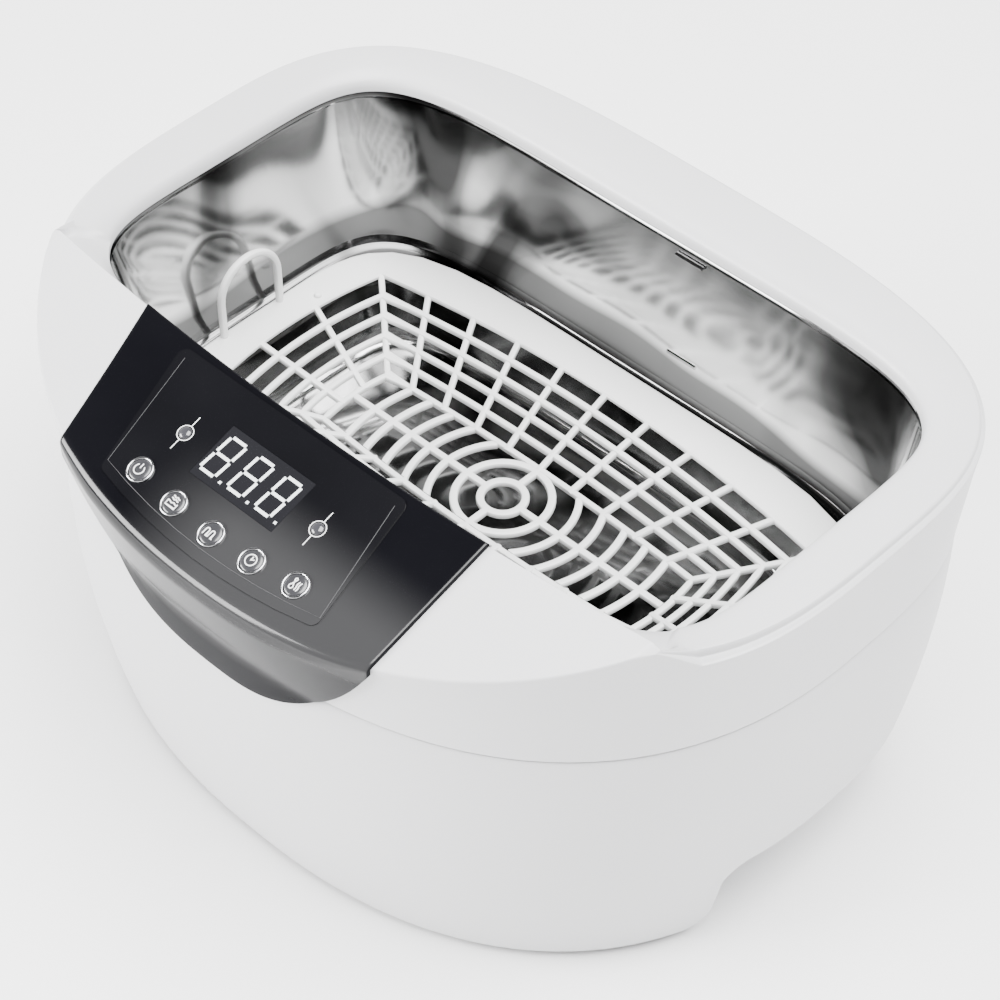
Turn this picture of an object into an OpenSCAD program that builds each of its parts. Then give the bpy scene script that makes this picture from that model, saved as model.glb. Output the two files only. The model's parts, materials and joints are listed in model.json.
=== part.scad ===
// Bench-top ultrasonic cleaner with a lift-out basket and a sloping control console.
// Millimetres. X runs along the long side, -Y is the front with the console, +Z is up.
// The origin is on the table, under the centre of the bounding box.

/* [Tank] */
// Length of the tank's opening
tank_len = 240; // [220:1:246]
// Width of the tank's opening
tank_wid = 135; // [120:1:140]
// Depth of the tank from its flange to its floor
tank_depth = 84; // [76:1:88]
// Thickness of the tank's steel
tank_wall = 0.9; // [0.6:0.1:1.2]

/* [Housing] */
// Length of the rim
rim_len = 282; // [276:1:290]
// Width of the rim
rim_wid = 189; // [187:1:191]
// Height of the rim above the table
rim_z = 142; // [138:1:150]
// Height of the joint between the two housings
seam_z = 101; // [96:1:106]
// Thickness of the housing walls
wall = 2.5; // [2:0.1:3]
// Height of the hand-hold arches in both ends
arch_h = 32; // [24:1:34]
// Width of the hand-hold arches
arch_w = 84; // [70:1:90]
// How far the rubber feet hold the housing off the table
foot_gap = 2.6; // [2:0.1:4]

/* [Console] */
// Slope of the console, as a rise over a run
console_slope = 0.33; // [0.28:0.01:0.36]
// Place of the display's centre along X
panel_x = -5.5; // [-6.5:0.5:-4.5]
// Distance between neighbouring buttons
button_pitch = 16; // [15:0.5:17]
// Travel of each button
button_travel = 0.8; // [0.4:0.1:1]

/* [Basket] */
// Length of the basket over its rim
basket_len = 219; // [210:1:220]
// Width of the basket over its rim
basket_wid = 120; // [112:1:121]
// Depth of the basket below its rim
basket_depth = 12; // [10:1:14]
// Height of the basket's carrying loops above its rim
loop_h = 28; // [24:1:34]

/* [Hidden] */
$fn = 48;

// Housing sections: half-lengths, front and back half-depths and corner exponents
base_z = foot_gap;
crease_z = rim_z - 14.6;
ledge_z = rim_z - 3;
rim_y = 6.6;
rim_skew = 7.75;
rim_power = 3.29;
front_power = 2.2;
console_half = 140.5;
console_front = 127;
seam_half = 138;
seam_back = 93;
seam_front = 119.3;
base_half = 130.3;
base_back = 83.4;
base_front = 112.2;
side_bulge = 3.7;
body_power_back = 3.27;
base_power_back = 2.4;
body_power_front = 2.32;
seam_gap = 0.3;
columns = 96;

// Console plane: its rear edge is a shallow arc above the tank's front edge
console_y = -74;
console_z = rim_z + 4;
console_bow = 6;
console_reach = 123;
tip_droop = 1.5;
console_tilt = atan(console_slope);
console_end = 30.2;
skin = 2.8;

// Tank outline
tank_power = 5.5;
tank_top = rim_z - 5.7;
lip_t = 0.9;
flange_drop = lip_t + 0.4;
ledge_drop = 58.3;
tank_floor = tank_top - tank_depth;

// Panel layout, as distances down the slope from the console's rear edge
panel_t = 1.4;
film_t = 0.3;
panel_gap = 0.12;
panel_rear = [-75.5, 64.2];
panel_front = [-63.5, 63.2];
tongue_drop = 38.4;
tongue_mid = 0.08;
display_s = 21.7;
display_w = 34;
display_h = 18.6;
// Things further down the panel stand further to the right
panel_lean = 0.16;
lamp_s = 22.5;
lamp_x = 27.2;
button_s = 41.5;
button_arc = 2.6;
ring_r = 4.2;
ring_bore = 3.5;
cap_r = 3.4;
button_xs = [for (i = [-2:2]) i * button_pitch];
window_s = [8, 47];
window_half = 39;
board_drop = 8;
board_t = 1.6;

// Parts under the tank
horn_x = 46;
post_xy = [[52, -94], [-52, -94], [52, -64], [-52, -64]];
board_z = 15;
foot_xy = [[78, -66], [-78, -66], [76, 46], [-76, 46]];
screw_xy = [[100, -54], [-100, -54], [0, -104], [88, 54], [-88, 54], [0, 74]];
inlet_z = 32;
inlet_seat = 87.3;
inlet_y = inlet_seat - 6.55;

function mix(a, b, t) = a + (b - a) * t;
function sgnpow(v, p) = sign(v) * pow(abs(v), p);
// A point of a rounded oblong whose back and front half-depths may differ
function oval(a, back, front, n_back, n_front, y0, t) =
    let (n = sin(t) >= 0 ? n_back : n_front, b = sin(t) >= 0 ? back : front)
    [a * sgnpow(cos(t), 2 / n), y0 + b * sgnpow(sin(t), 2 / n)];
function even_oval(a, b, n, y0, t) = oval(a, b, b, n, n, y0, t);
// The housing's outside at height z, moved in by inset
function body_at(z, inset, t) =
    let (
        low = (seam_z - z) / (seam_z - base_z),
        up = min(1, (z - seam_z) / (crease_z - seam_z)),
        swell = 4 * low * (1 - low) * side_bulge,
        a = z < seam_z ? mix(seam_half, base_half, low) + swell : mix(seam_half, console_half, up),
        b = z < seam_z ? mix(seam_back, base_back, low) + swell : seam_back,
        f = z < seam_z ? mix(seam_front, base_front, low) + swell : mix(seam_front, console_front, up),
        n = z < seam_z ? body_power_front : mix(body_power_front, front_power, up)
    )
    oval(a - inset, b - inset, f - inset, mix(body_power_back, base_power_back, max(0, low)), n, 0, t);
// The rim's front half reaches further out than its back half
function rim_at(inset, t) =
    oval(rim_len / 2 - inset, rim_wid / 2 - rim_skew - inset, rim_wid / 2 + rim_skew - inset,
        rim_power, rim_power, rim_y, t);
// The tank's long walls lean in less than its ends do
function tank_at(inset, t) =
    even_oval(tank_len / 2 - inset, tank_wid / 2 - (inset > 0 ? 0.7 : 1) * inset, tank_power, 0, t);
function plane_z(y) = console_z + console_slope * (y - console_y);
function lift(p, z) = [p[0], p[1], z];
function on_plane(p, drop) = [p[0], p[1], plane_z(p[1]) - drop];

// Closes a grid of rings into a solid; a wrapped grid joins its last column to its first
function quads(rows, cols, wrap_rows) =
    [for (i = [0:(wrap_rows ? rows : rows - 1) - 1], j = [0:cols - 1])
        let (i2 = (i + 1) % rows, j2 = (j + 1) % cols)
        each [[i * cols + j, i * cols + j2, i2 * cols + j2], [i * cols + j, i2 * cols + j2, i2 * cols + j]]];
// A solid loft through horizontal rings, closed with flat ends
module loft(rings) {
    rows = len(rings);
    cols = len(rings[0]);
    polyhedron(
        points = [for (ring = rings) each ring],
        faces = concat(
            [for (f = quads(rows, cols, false)) [f[2], f[1], f[0]]],
            [[for (j = [0:cols - 1]) j]],
            [[for (j = [cols - 1:-1:0]) (rows - 1) * cols + j]]
        )
    );
}
// A ring-shaped solid: each column is one closed section of the wall
module ring_loft(sections) {
    rows = len(sections);
    cols = len(sections[0]);
    polyhedron(points = [for (s = sections) each s], faces = quads(rows, cols, true));
}
module centred() {
    translate([0, tank_y, 0])
        children();
}
function lean(s) = panel_lean * (s - display_s);
module on_console(s = 0) {
    translate([0, console_y, console_z])
        rotate([console_tilt, 0, 0])
            translate([panel_x + (s > 0 ? lean(s) : 0), -s, 0])
                children();
}
function button_pos(x) = button_s - button_arc * pow(x / (2 * button_pitch), 2);

// --- Housings ---
function rear_edge(t) =
    let (x = console_reach * sgnpow(cos(t) / cos(console_end), 0.6))
    [x, console_y + console_bow * pow(x / console_reach, 2)];
function is_console(t) = t > 180 + console_end && t < 360 - console_end;
function upper_section(t) = is_console(t) ? console_section(t) : rim_section(t);
// The ledge outside the rim is narrow behind and widens towards the console
function rim_section(t) =
    let (
        ledge = mix(0.9, 3.9, (1 - sin(t)) / 2),
        edge_z = rim_z - mix(0.8, 3.4, (1 - sin(t)) / 2)
    ) [
    lift(body_at(seam_z, 0, t), seam_z + seam_gap),
    lift(body_at(seam_z + 16, 0, t), seam_z + 16),
    lift(rim_at(0.6, t), edge_z - 7),
    lift(rim_at(0, t), edge_z - 0.8),
    lift(rim_at(0.2 * ledge, t), edge_z),
    lift(rim_at(ledge - 0.3, t), edge_z),
    lift(rim_at(ledge, t), mix(edge_z, rim_z, 0.6)),
    lift(rim_at(ledge + 2.2, t), rim_z),
    lift(tank_at(-7.4, t), rim_z),
    lift(tank_at(-3.4, t), rim_z - 1.6),
    lift(tank_at(-0.6, t), tank_top),
    lift(tank_at(-0.6, t), tank_top - lip_t),
    lift(tank_at(-3.4, t), tank_top - lip_t),
    lift(tank_at(-8, t), rim_z - skin),
    lift(rim_at(6.5, t), ledge_z - skin),
    lift(rim_at(3.4, t), ledge_z - skin - 2),
    lift(body_at(seam_z + 16, wall, t), seam_z + 16),
    lift(body_at(seam_z, wall, t), seam_z + seam_gap)
];
function console_section(t) =
    let (
        edge = body_at(crease_z, 0, t),
        inner = body_at(crease_z, wall, t),
        rear = rear_edge(t),
        droop = tip_droop * pow(abs(rear[0]) / console_reach, 12)
    ) [
    lift(body_at(seam_z, 0, t), seam_z + seam_gap),
    lift(body_at(seam_z + 16, 0, t), seam_z + 16),
    lift(mix(body_at(seam_z + 16, 0, t), edge, 0.75), mix(seam_z + 16, plane_z(edge[1]) - droop, 0.75)),
    on_plane(edge, 1 + droop),
    on_plane(mix(edge, rear, 0.02), droop),
    on_plane(mix(edge, rear, 0.35), droop),
    on_plane(mix(edge, rear, 0.7), droop),
    on_plane(rear, droop),
    lift([rear[0], rear[1] + 0.2], rim_z),
    lift(tank_at(-3.4, t), rim_z - 1.6),
    lift(tank_at(-0.6, t), tank_top),
    lift(tank_at(-0.6, t), tank_top - lip_t),
    lift(tank_at(-3.4, t), tank_top - lip_t),
    on_plane([rear[0] * 0.97, rear[1] - 2], skin + droop),
    on_plane(mix(rear, inner, 0.5), skin + droop),
    on_plane(mix(rear, inner, 0.97), skin + droop),
    lift(body_at(seam_z + 16, wall, t), seam_z + 16),
    lift(body_at(seam_z, wall, t), seam_z + seam_gap)
];
step = 360 / columns;
plain_angles = [for (i = [0:columns - 1]) i * step];
turns = [
    for (a = plain_angles) if (a <= 180 + console_end - 1) a,
    180 + console_end - 0.2,
    180 + console_end + 0.2,
    for (a = plain_angles) if (a > 180 + console_end + 1 && a < 360 - console_end - 1) a,
    360 - console_end - 0.2,
    360 - console_end + 0.2,
    for (a = plain_angles) if (a > 360 - console_end + 1) a
];

module upper_housing() {
    color("white")
    centred()
        difference() {
            union() {
                ring_loft([for (t = turns) upper_section(t)]);
                // Posts that carry the display board
                on_console()
                    for (x = [-window_half - 4, window_half + 4], s = [14, 40])
                        translate([x, -s, -board_drop])
                            cylinder(r = 3, h = board_drop - skin + 0.5);
                // Bosses that take the tank clamps' screws
                for (p = clamp_xy)
                    translate([p[0], p[1], clamp_z - 7.1])
                        cylinder(r = 3, h = 13);
            }
            on_console()
                translate([-window_half, -window_s[1], -skin - 6])
                    cube([2 * window_half, window_s[1] - window_s[0], skin + 12]);
            on_console()
                for (x = [-window_half - 4, window_half + 4], s = [14, 40])
                    translate([x, -s, -board_drop - 1])
                        cylinder(r = 1.2, h = 6);
            for (p = clamp_xy)
                translate([p[0], p[1], clamp_z - 8])
                    cylinder(r = 1.2, h = 9);
        }
}

function body_ring(z, inset) = [for (t = plain_angles) lift(body_at(z, inset, t), z)];
module body_solid(inset, z0, z1) {
    levels = [for (i = [0:4]) mix(z0, z1, i / 4)];
    loft([for (z = levels) body_ring(z, inset)]);
}
lip_in = wall + 0.15;
lip_out = wall + 1.6;
wall_levels = [for (i = [0:6]) mix(base_z, seam_z, i / 6)];
// The tank's centre line lies behind the middle of the whole object
front_reach = console_front + 0.8 * (panel_gap + panel_t);
back_reach = max([for (z = wall_levels) body_at(z, 0, 90)[1]]);
tank_y = (front_reach - back_reach) / 2;
// One closed section of the lower wall: up the outside, over the joint's lip and down the inside
function lower_section(t) = concat(
    [for (z = wall_levels) lift(body_at(z, 0, t), z)],
    [lift(body_at(seam_z, lip_in, t), seam_z)],
    [lift(body_at(seam_z, lip_in, t), seam_z + 3)],
    [lift(body_at(seam_z, lip_out, t), seam_z + 3)],
    [lift(body_at(seam_z, lip_out, t), seam_z - 4)],
    [for (i = [5:-1:0]) lift(body_at(wall_levels[i], wall, t), wall_levels[i])]
);
// A round-topped arch that runs along X, standing on the housing's lower edge
module arch(width, height, x0, x1) {
    r = 9;
    translate([x0, 0, 0])
        rotate([90, 0, 90])
            linear_extrude(x1 - x0) {
                translate([-width / 2, -1])
                    square([width, base_z + height - r + 1]);
                translate([-width / 2 + r, base_z])
                    square([width - 2 * r, height]);
                for (y = [-1, 1])
                    translate([y * (width / 2 - r), base_z + height - r])
                        circle(r);
            }
}
pocket_in = 98;
module lower_housing() {
    color("white")
    centred()
        difference() {
            union() {
                ring_loft([for (t = plain_angles) lower_section(t)]);
                // Walls of the two hand-hold pockets and the ribs behind the screw bosses
                intersection() {
                    union() {
                        for (side = [0, 180])
                            rotate([0, 0, side])
                                arch(arch_w + 2 * wall, arch_h + wall, pocket_in, base_half + 8);
                        for (p = screw_xy)
                            translate([p[0], p[1], base_z + 4.4])
                                rotate([0, 0, atan2(p[1], p[0])])
                                    translate([0, -0.8, 0])
                                        cube([34, 1.6, 13]);
                        // Flat seat for the mains inlet
                        translate([-29, inlet_seat - 3, inlet_z - 15])
                            cube([58, 12, 30]);
                    }
                    body_solid(0.5, base_z, seam_z);
                }
                // Screw bosses for the base plate
                for (p = screw_xy)
                    translate([p[0], p[1], base_z + 4])
                        cylinder(r = 3.4, h = 14);
            }
            for (side = [0, 180])
                rotate([0, 0, side])
                    arch(arch_w, arch_h, pocket_in + wall, base_half + 20);
            for (p = screw_xy)
                translate([p[0], p[1], base_z + 3])
                    cylinder(r = 1.4, h = 12);
            // Opening for the mains inlet
            translate([-27, inlet_seat, inlet_z - 13])
                cube([54, 20, 26]);
            translate([-14, inlet_seat - 20, inlet_z - 10])
                cube([28, 24, 20]);
            for (x = [-20, 20])
                translate([x, 60, inlet_z])
                    rotate([-90, 0, 0])
                        cylinder(r = 1.3, h = 40);
        }
}

module base_outline(inset) {
    difference() {
        polygon([for (t = plain_angles) body_at(base_z, inset, t)]);
        for (side = [-1, 1])
            translate([side * (pocket_in - 0.4 + 30), 0])
                square([60, arch_w + 2 * wall + 0.8], center = true);
    }
}
plate_z = base_z + 1.2;
plate_t = 2.5;
module base_plate() {
    color("dimgray")
    centred()
        difference() {
            union() {
                translate([0, 0, plate_z])
                    linear_extrude(plate_t)
                        base_outline(wall + 0.3);
                for (p = post_xy)
                    translate([p[0], p[1], plate_z])
                        cylinder(r = 3, h = board_z - plate_z);
            }
            for (p = post_xy)
                translate([p[0], p[1], board_z - 7])
                    cylinder(r = 1.2, h = 9);
            for (p = screw_xy)
                translate([p[0], p[1], plate_z - 1])
                    cylinder(r = 1.7, h = plate_t + 2);
            for (p = foot_xy)
                translate([p[0], p[1], plate_z - 1])
                    cylinder(r = 3, h = plate_t + 2);
            // Ventilation slots
            for (x = [-5:5], y = [-1, 1])
                translate([x * 9 - 1.5, y * 22 - 12, plate_z - 1])
                    cube([3, 24, plate_t + 2]);
        }
}
module rubber_feet() {
    color("black")
    centred()
        for (p = foot_xy)
            translate([p[0], p[1], 0])
                rotate_extrude()
                    polygon([[0, 0], [8, 0], [9, 1], [9, plate_z - 0.05], [2.8, plate_z - 0.05],
                        [2.8, plate_z + plate_t + 0.2], [3.8, plate_z + plate_t + 0.3],
                        [2.2, plate_z + plate_t + 2], [0, plate_z + plate_t + 2]]);
}
// A pan-head screw pointing up, its head's top at the origin
module screw(r, length, head_r) {
    cylinder(r = r, h = length);
    translate([0, 0, -1.6])
        difference() {
            cylinder(r = head_r, h = 1.6);
            for (a = [0, 90])
                rotate([0, 0, a])
                    translate([-head_r * 0.6, -0.3, -1])
                        cube([head_r * 1.2, 0.6, 1.8]);
        }
}
module base_screws() {
    color("silver")
    centred()
        for (p = screw_xy)
            translate([p[0], p[1], plate_z - 0.05])
                screw(1.3, 12, 3);
}

// --- Tank ---
module tank() {
    lower = ledge_drop - 6.3;
    function inside(t) = [
        lift(tank_at(-3, t), tank_top - flange_drop),
        lift(tank_at(-1.1, t), tank_top - flange_drop - 0.1),
        lift(tank_at(-0.2, t), tank_top - flange_drop - 1.2),
        lift(tank_at(5.4, t), tank_top - lower),
        lift(tank_at(6.8, t), tank_top - ledge_drop + 2),
        lift(tank_at(9.2, t), tank_top - ledge_drop),
        lift(tank_at(18.5, t), tank_top - ledge_drop),
        lift(tank_at(20.4, t), tank_top - ledge_drop - 1),
        lift(tank_at(21.4, t), tank_top - ledge_drop - 3),
        lift(tank_at(24.5, t), tank_floor + 5),
        lift(tank_at(26, t), tank_floor + 1.6),
        lift(tank_at(29.5, t), tank_floor)
    ];
    function outside(t) = [
        lift(tank_at(29.2, t), tank_floor - tank_wall),
        lift(tank_at(25.4, t), tank_floor + 1.2),
        lift(tank_at(23.6, t), tank_floor + 5),
        lift(tank_at(20.5, t), tank_top - ledge_drop - 3),
        lift(tank_at(18.6, t), tank_top - ledge_drop - tank_wall),
        lift(tank_at(8.6, t), tank_top - ledge_drop - tank_wall),
        lift(tank_at(5.9, t), tank_top - ledge_drop + 1.6),
        lift(tank_at(4.5, t), tank_top - lower),
        lift(tank_at(-1.1, t), clamp_z - 1.2),
        lift(tank_at(-1.7, t), clamp_z - 0.1),
        lift(tank_at(-3, t), clamp_z)
    ];
    inner_rows = len(inside(0));
    outer_rows = len(outside(0));
    angles = [for (i = [0:63]) i * 5.625];
    rows = concat(
        [for (k = [inner_rows - 1:-1:0]) [for (t = angles) inside(t)[k]]],
        [for (k = [outer_rows - 1:-1:0]) [for (t = angles) outside(t)[k]]]
    );
    color("silver")
    centred()
        loft(rows);
}
// The clamps press on the underside of the tank's flange
clamp_z = tank_top - flange_drop - tank_wall;
clamp_xy = [[60, 76.5], [-60, 76.5], [128.9, 20], [128.9, -24], [-128.9, 20], [-128.9, -24]];
module tank_gasket() {
    color("black")
    centred()
        translate([0, 0, tank_top - flange_drop + 0.05])
            linear_extrude(0.3)
                difference() {
                    polygon([for (t = plain_angles) tank_at(-3, t)]);
                    polygon([for (t = plain_angles) tank_at(-1.2, t)]);
                }
}
module tank_clamps() {
    color("silver")
    centred()
        for (p = clamp_xy)
            translate([p[0], p[1], clamp_z - 7.95])
                rotate([0, 0, abs(p[1]) > 50 ? -90 : (p[0] > 0 ? 180 : 0)])
                    difference() {
                        union() {
                            translate([-4, -5, -0.3])
                                cube([9, 10, 1.1]);
                            translate([4, -5, -0.3])
                                cube([1.1, 10, 8]);
                            translate([4, -5, 6.8])
                                cube([2.8, 10, 1.1]);
                        }
                        translate([0, 0, -1])
                            cylinder(r = 1.6, h = 3);
                    }
}
module clamp_screws() {
    color("silver")
    centred()
        for (p = clamp_xy)
            translate([p[0], p[1], clamp_z - 8.35])
                screw(1.1, 7, 2.6);
}

// --- Basket ---
basket_z = tank_top - ledge_drop + 0.2;
basket_rim_t = 1.8;
basket_top = basket_z + basket_rim_t;
bowl_z = basket_top - basket_depth;
slat = 2;
// Four bowed sides between square corners, from the centres of the sides and the corners
function bowed(a, b, ca, cb) = [
    for (i = [-4:4]) [ca * i / 4, -mix(b, cb, pow(i / 4, 2))],
    for (i = [-3:3]) [mix(a, ca, pow(i / 4, 2)), cb * i / 4],
    for (i = [4:-1:-4]) [ca * i / 4, mix(b, cb, pow(i / 4, 2))],
    for (i = [3:-1:-3]) [-mix(a, ca, pow(i / 4, 2)), cb * i / 4]
];
function basket_line(t) =
    bowed(mix(67.5, 97, t), mix(17, 46.8, t), mix(66, 92.5, t), mix(14.5, 38.2, t));
module slat_ring(t) {
    translate([0, 0, mix(bowl_z, basket_top, t) - slat])
        linear_extrude(slat)
            difference() {
                polygon(basket_line(t));
                offset(delta = -slat)
                    polygon(basket_line(t));
            }
}
module sloping_rib(foot, head) {
    run = norm([head[0] - foot[0], head[1] - foot[1]]);
    rise = basket_depth;
    translate([foot[0], foot[1], bowl_z - slat])
        rotate([0, 0, atan2(head[1] - foot[1], head[0] - foot[0])])
            rotate([90, 0, 0])
                translate([0, 0, -slat / 2])
                    linear_extrude(slat)
                        polygon([[-0.8, 0], [1, 0], [run, rise - 0.4], [run, rise + slat - 0.2],
                            [-0.8, slat - 0.4]]);
}
module basket() {
    color("white")
    centred() {
        difference() {
            translate([0, 0, basket_z])
                linear_extrude(basket_rim_t)
                    polygon([for (t = plain_angles) even_oval(basket_len / 2, basket_wid / 2, 4.7, 0, t)]);
            translate([0, 0, basket_z - 1])
                linear_extrude(basket_rim_t + 2)
                    polygon(basket_line(1));
        }
        for (k = [0:4])
            slat_ring(k / 5);
        for (i = [-4:4], side = [-1, 1])
            sloping_rib([i * 13.7, side * (mix(17, 14.5, pow(i / 4.8, 2)) - 0.8)],
                [i * 18.6, side * (mix(46.8, 38.2, pow(i / 4.9, 2)) + 0.4)]);
        for (side = [-1, 1], y = [-1, 1])
            sloping_rib([side * 66.5, y * 4.6], [side * 96.6, y * 12]);
        for (side = [-1, 1], y = [-1, 1])
            sloping_rib([side * 65.4, y * 13.9], [side * 92.5, y * 38.1]);
    }
}
// The flat bottom inside the lowest bar: concentric rings and the ribs that join them
module basket_floor() {
    color("white")
    centred()
        translate([0, 0, bowl_z - slat])
            linear_extrude(slat)
                intersection() {
                    offset(delta = -slat - 0.02)
                        polygon(basket_line(0));
                    union() {
                        for (r = [7.15, 15.5, 24, 32.3, 40.6, 49, 57.3])
                            difference() {
                                circle(r + 1.3);
                                circle(r - 1.3);
                            }
                        for (side = [0, 180])
                            rotate([0, 0, side])
                                translate([7, -1])
                                    square([62, 2]);
                        for (side = [90, 270])
                            rotate([0, 0, side])
                                translate([7, -1])
                                    square([12, 2]);
                    }
                }
}
// A hoop at each end of the rim to lift the basket by
module basket_loops() {
    arc_z = basket_z + loop_h - 12.3;
    color("white")
    centred()
        for (side = [0, 180])
            rotate([0, 0, side])
                translate([-basket_len / 2 + 2, -6.5, 0]) {
                    for (y = [-12.3, 12.3])
                        translate([0, y, basket_top])
                            cylinder(r = 1.3, h = arc_z - basket_top);
                    translate([0, 0, arc_z])
                        rotate([90, 0, 90])
                            rotate_extrude(angle = 180)
                                translate([12.3, 0])
                                    circle(1.3);
                }
}

// --- Control panel ---
panel_cols = 24;
function panel_side(f, q) = mix(mix(panel_rear[0], panel_front[0], q), mix(panel_rear[1], panel_front[1], q), (f + 1) / 2);
function crease_y(x) =
    -console_front * pow(1 - pow(abs(x) / console_half, front_power), 1 / front_power);
function front_y(x, z) =
    let (
        up = min(1, max(0, (z - seam_z) / (crease_z - seam_z))),
        low = max(0, (seam_z - z) / (seam_z - base_z)),
        swell = 4 * low * (1 - low) * side_bulge,
        a = low > 0 ? mix(seam_half, base_half, low) + swell : mix(seam_half, console_half, up),
        f = low > 0 ? mix(seam_front, base_front, low) + swell : mix(seam_front, console_front, up),
        n = mix(body_power_front, front_power, up)
    )
    -f * pow(1 - pow(abs(x) / a, n), 1 / n);
// The tongue's lower edge is deepest a little to the right of its middle
function tongue_z(f) =
    let (across = min(1, abs(f - tongue_mid) / (f > tongue_mid ? 1 - tongue_mid : 1 + tongue_mid)))
    crease_z + 2.6 - tongue_drop * (1 - pow(across, 3));
// A point of the panel at column f across it and row q down it, raised by h
function panel_point(f, q, h) =
    q <= 1
        ? let (
            x = panel_side(f, q),
            y0 = console_y + console_bow * pow(x / console_reach, 2) + 0.4,
            y1 = crease_y(x) - (q == 1 ? h * 0.8 : 0),
            y = mix(y0, y1, q)
        ) [x, y - (q < 1 ? h * sin(console_tilt) : 0), plane_z(y) + h * (q < 1 ? cos(console_tilt) : 0.9)]
        : let (
            x = panel_side(f, 1),
            top = plane_z(crease_y(x)) - 2,
            z = mix(top, min(top - 0.8, tongue_z(f)), q - 1)
        ) [x, front_y(x, z) - h, z];
panel_rows = [0, 0.35, 0.7, 1, 1.001, 1.12, 1.25, 1.4, 1.55, 1.7, 1.85, 2];
module panel_skin(h0, h1) {
    cols = panel_cols + 1;
    rows = len(panel_rows);
    top = [for (q = panel_rows, i = [0:panel_cols]) panel_point(2 * i / panel_cols - 1, q, h1)];
    under = [for (q = panel_rows, i = [0:panel_cols]) panel_point(2 * i / panel_cols - 1, q, h0)];
    n = rows * cols;
    grid = [for (r = [0:rows - 2], i = [0:cols - 2])
        let (a = r * cols + i)
        each [[a, a + 1, a + cols + 1], [a, a + cols + 1, a + cols]]];
    rim = concat(
        [for (i = [0:cols - 2]) [i, i + 1]],
        [for (r = [0:rows - 2]) [r * cols + cols - 1, (r + 1) * cols + cols - 1]],
        [for (i = [cols - 1:-1:1]) [(rows - 1) * cols + i, (rows - 1) * cols + i - 1]],
        [for (r = [rows - 1:-1:1]) [r * cols, (r - 1) * cols]]
    );
    polyhedron(
        points = concat(top, under),
        faces = concat(
            grid,
            [for (f = grid) [f[2] + n, f[1] + n, f[0] + n]],
            [for (e = rim) each [[e[1], e[0], e[0] + n], [e[1], e[0] + n, e[1] + n]]]
        )
    );
}
module control_panel() {
    color([0.05, 0.05, 0.06])
    centred()
        difference() {
            panel_skin(panel_gap, panel_gap + panel_t);
            on_console(display_s)
                cube([display_w, display_h, 20], center = true);
            for (x = button_xs)
                on_console(button_pos(x))
                    translate([x, 0, -5])
                        cylinder(r = ring_r + 0.05, h = 10);
            for (x = [-lamp_x, lamp_x])
                on_console(lamp_s)
                    translate([x, 0, -5])
                        cylinder(r = 2.05, h = 10);
        }
}
film_n = panel_gap + panel_t + 0.03;
module panel_overlay() {
    color([0.08, 0.08, 0.09])
    centred()
        on_console()
            translate([0, 0, film_n])
                difference() {
                    linear_extrude(film_t)
                        difference() {
                            hull() {
                                for (x = [-1, 1])
                                    translate([x * 43 + lean(4.5), -4.5])
                                        circle(3);
                                for (i = [-4:4])
                                    translate([i * 10.4 + lean(45), -47.5 + 4.5 * pow(i / 4, 2)])
                                        circle(2.6);
                            }
                            translate([-display_w / 2, -display_s - display_h / 2])
                                square([display_w, display_h]);
                        }
                    for (x = button_xs)
                        translate([x + lean(button_pos(x)), -button_pos(x), -1])
                            cylinder(r = ring_r + 0.05, h = 3);
                    for (x = [-lamp_x, lamp_x])
                        translate([x + lean(lamp_s), -lamp_s, -1])
                            cylinder(r = 2.05, h = 3);
                }
}
module display_window() {
    color([0.02, 0.02, 0.02, 0.6])
    centred()
        on_console(display_s)
            translate([-display_w / 2 + 0.1, -display_h / 2 + 0.1, panel_gap])
                cube([display_w - 0.2, display_h - 0.2, panel_t + film_t]);
}
module indicator(x) {
    color("lightgray")
    centred()
        on_console(lamp_s)
            translate([x, 0, -board_drop + 0.05]) {
                cylinder(r = 1.5, h = board_drop - 1);
                translate([0, 0, board_drop - 1])
                    cylinder(r = 2, h = 1 + film_n + film_t);
            }
}
module left_indicator() indicator(-lamp_x);
module right_indicator() indicator(lamp_x);
module button(i) {
    x = button_xs[i];
    color("black")
    centred()
        on_console(button_pos(x))
            translate([x, 0, 0])
                rotate_extrude()
                    polygon([[0, -5.6], [1.4, -5.6], [1.4, -2.2], [4.1, -2.2], [4.1, -1.4], [cap_r, -1.2],
                        [cap_r, 2.1], [cap_r - 0.5, 2.5], [0, 2.7]]);
}
module power_button() button(0);
module ultrasonic_button() button(1);
module degas_button() button(2);
module timer_button() button(3);
module temperature_button() button(4);
module button_rings() {
    color("silver")
    centred()
        for (x = button_xs)
            on_console(button_pos(x))
                translate([x, 0, 0])
                    rotate_extrude()
                        polygon([[ring_bore, -0.4], [ring_r, -0.4], [ring_r, 2.2], [ring_r - 0.25, 2.5],
                            [ring_bore + 0.15, 2.5], [ring_bore, 2.3]]);
}
module display_module() {
    color("dimgray")
    centred()
        on_console(display_s)
            translate([-display_w / 2 + 0.6, -display_h / 2 + 0.4, -board_drop + 0.02])
                cube([display_w - 1.2, display_h - 0.8, board_drop + panel_gap - 0.1]);
}
module display_board() {
    color("green")
    centred()
        on_console()
            difference() {
                translate([-window_half - 7.5, -46, -board_drop - board_t - 0.03])
                    cube([2 * window_half + 15, 40, board_t]);
                for (x = [-window_half - 4, window_half + 4], s = [14, 40])
                    translate([x, -s, -board_drop - board_t - 1])
                        cylinder(r = 1.5, h = board_t + 2);
            }
}
module tact_switches() {
    color("dimgray")
    centred()
        for (x = button_xs)
            on_console(button_pos(x))
                translate([x, 0, -board_drop])
                    difference() {
                        translate([-3, -3, 0.02])
                            cube([6, 6, 3.4]);
                        translate([0, 0, 1])
                            cylinder(r = 1.6, h = 4);
                    }
}
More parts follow.
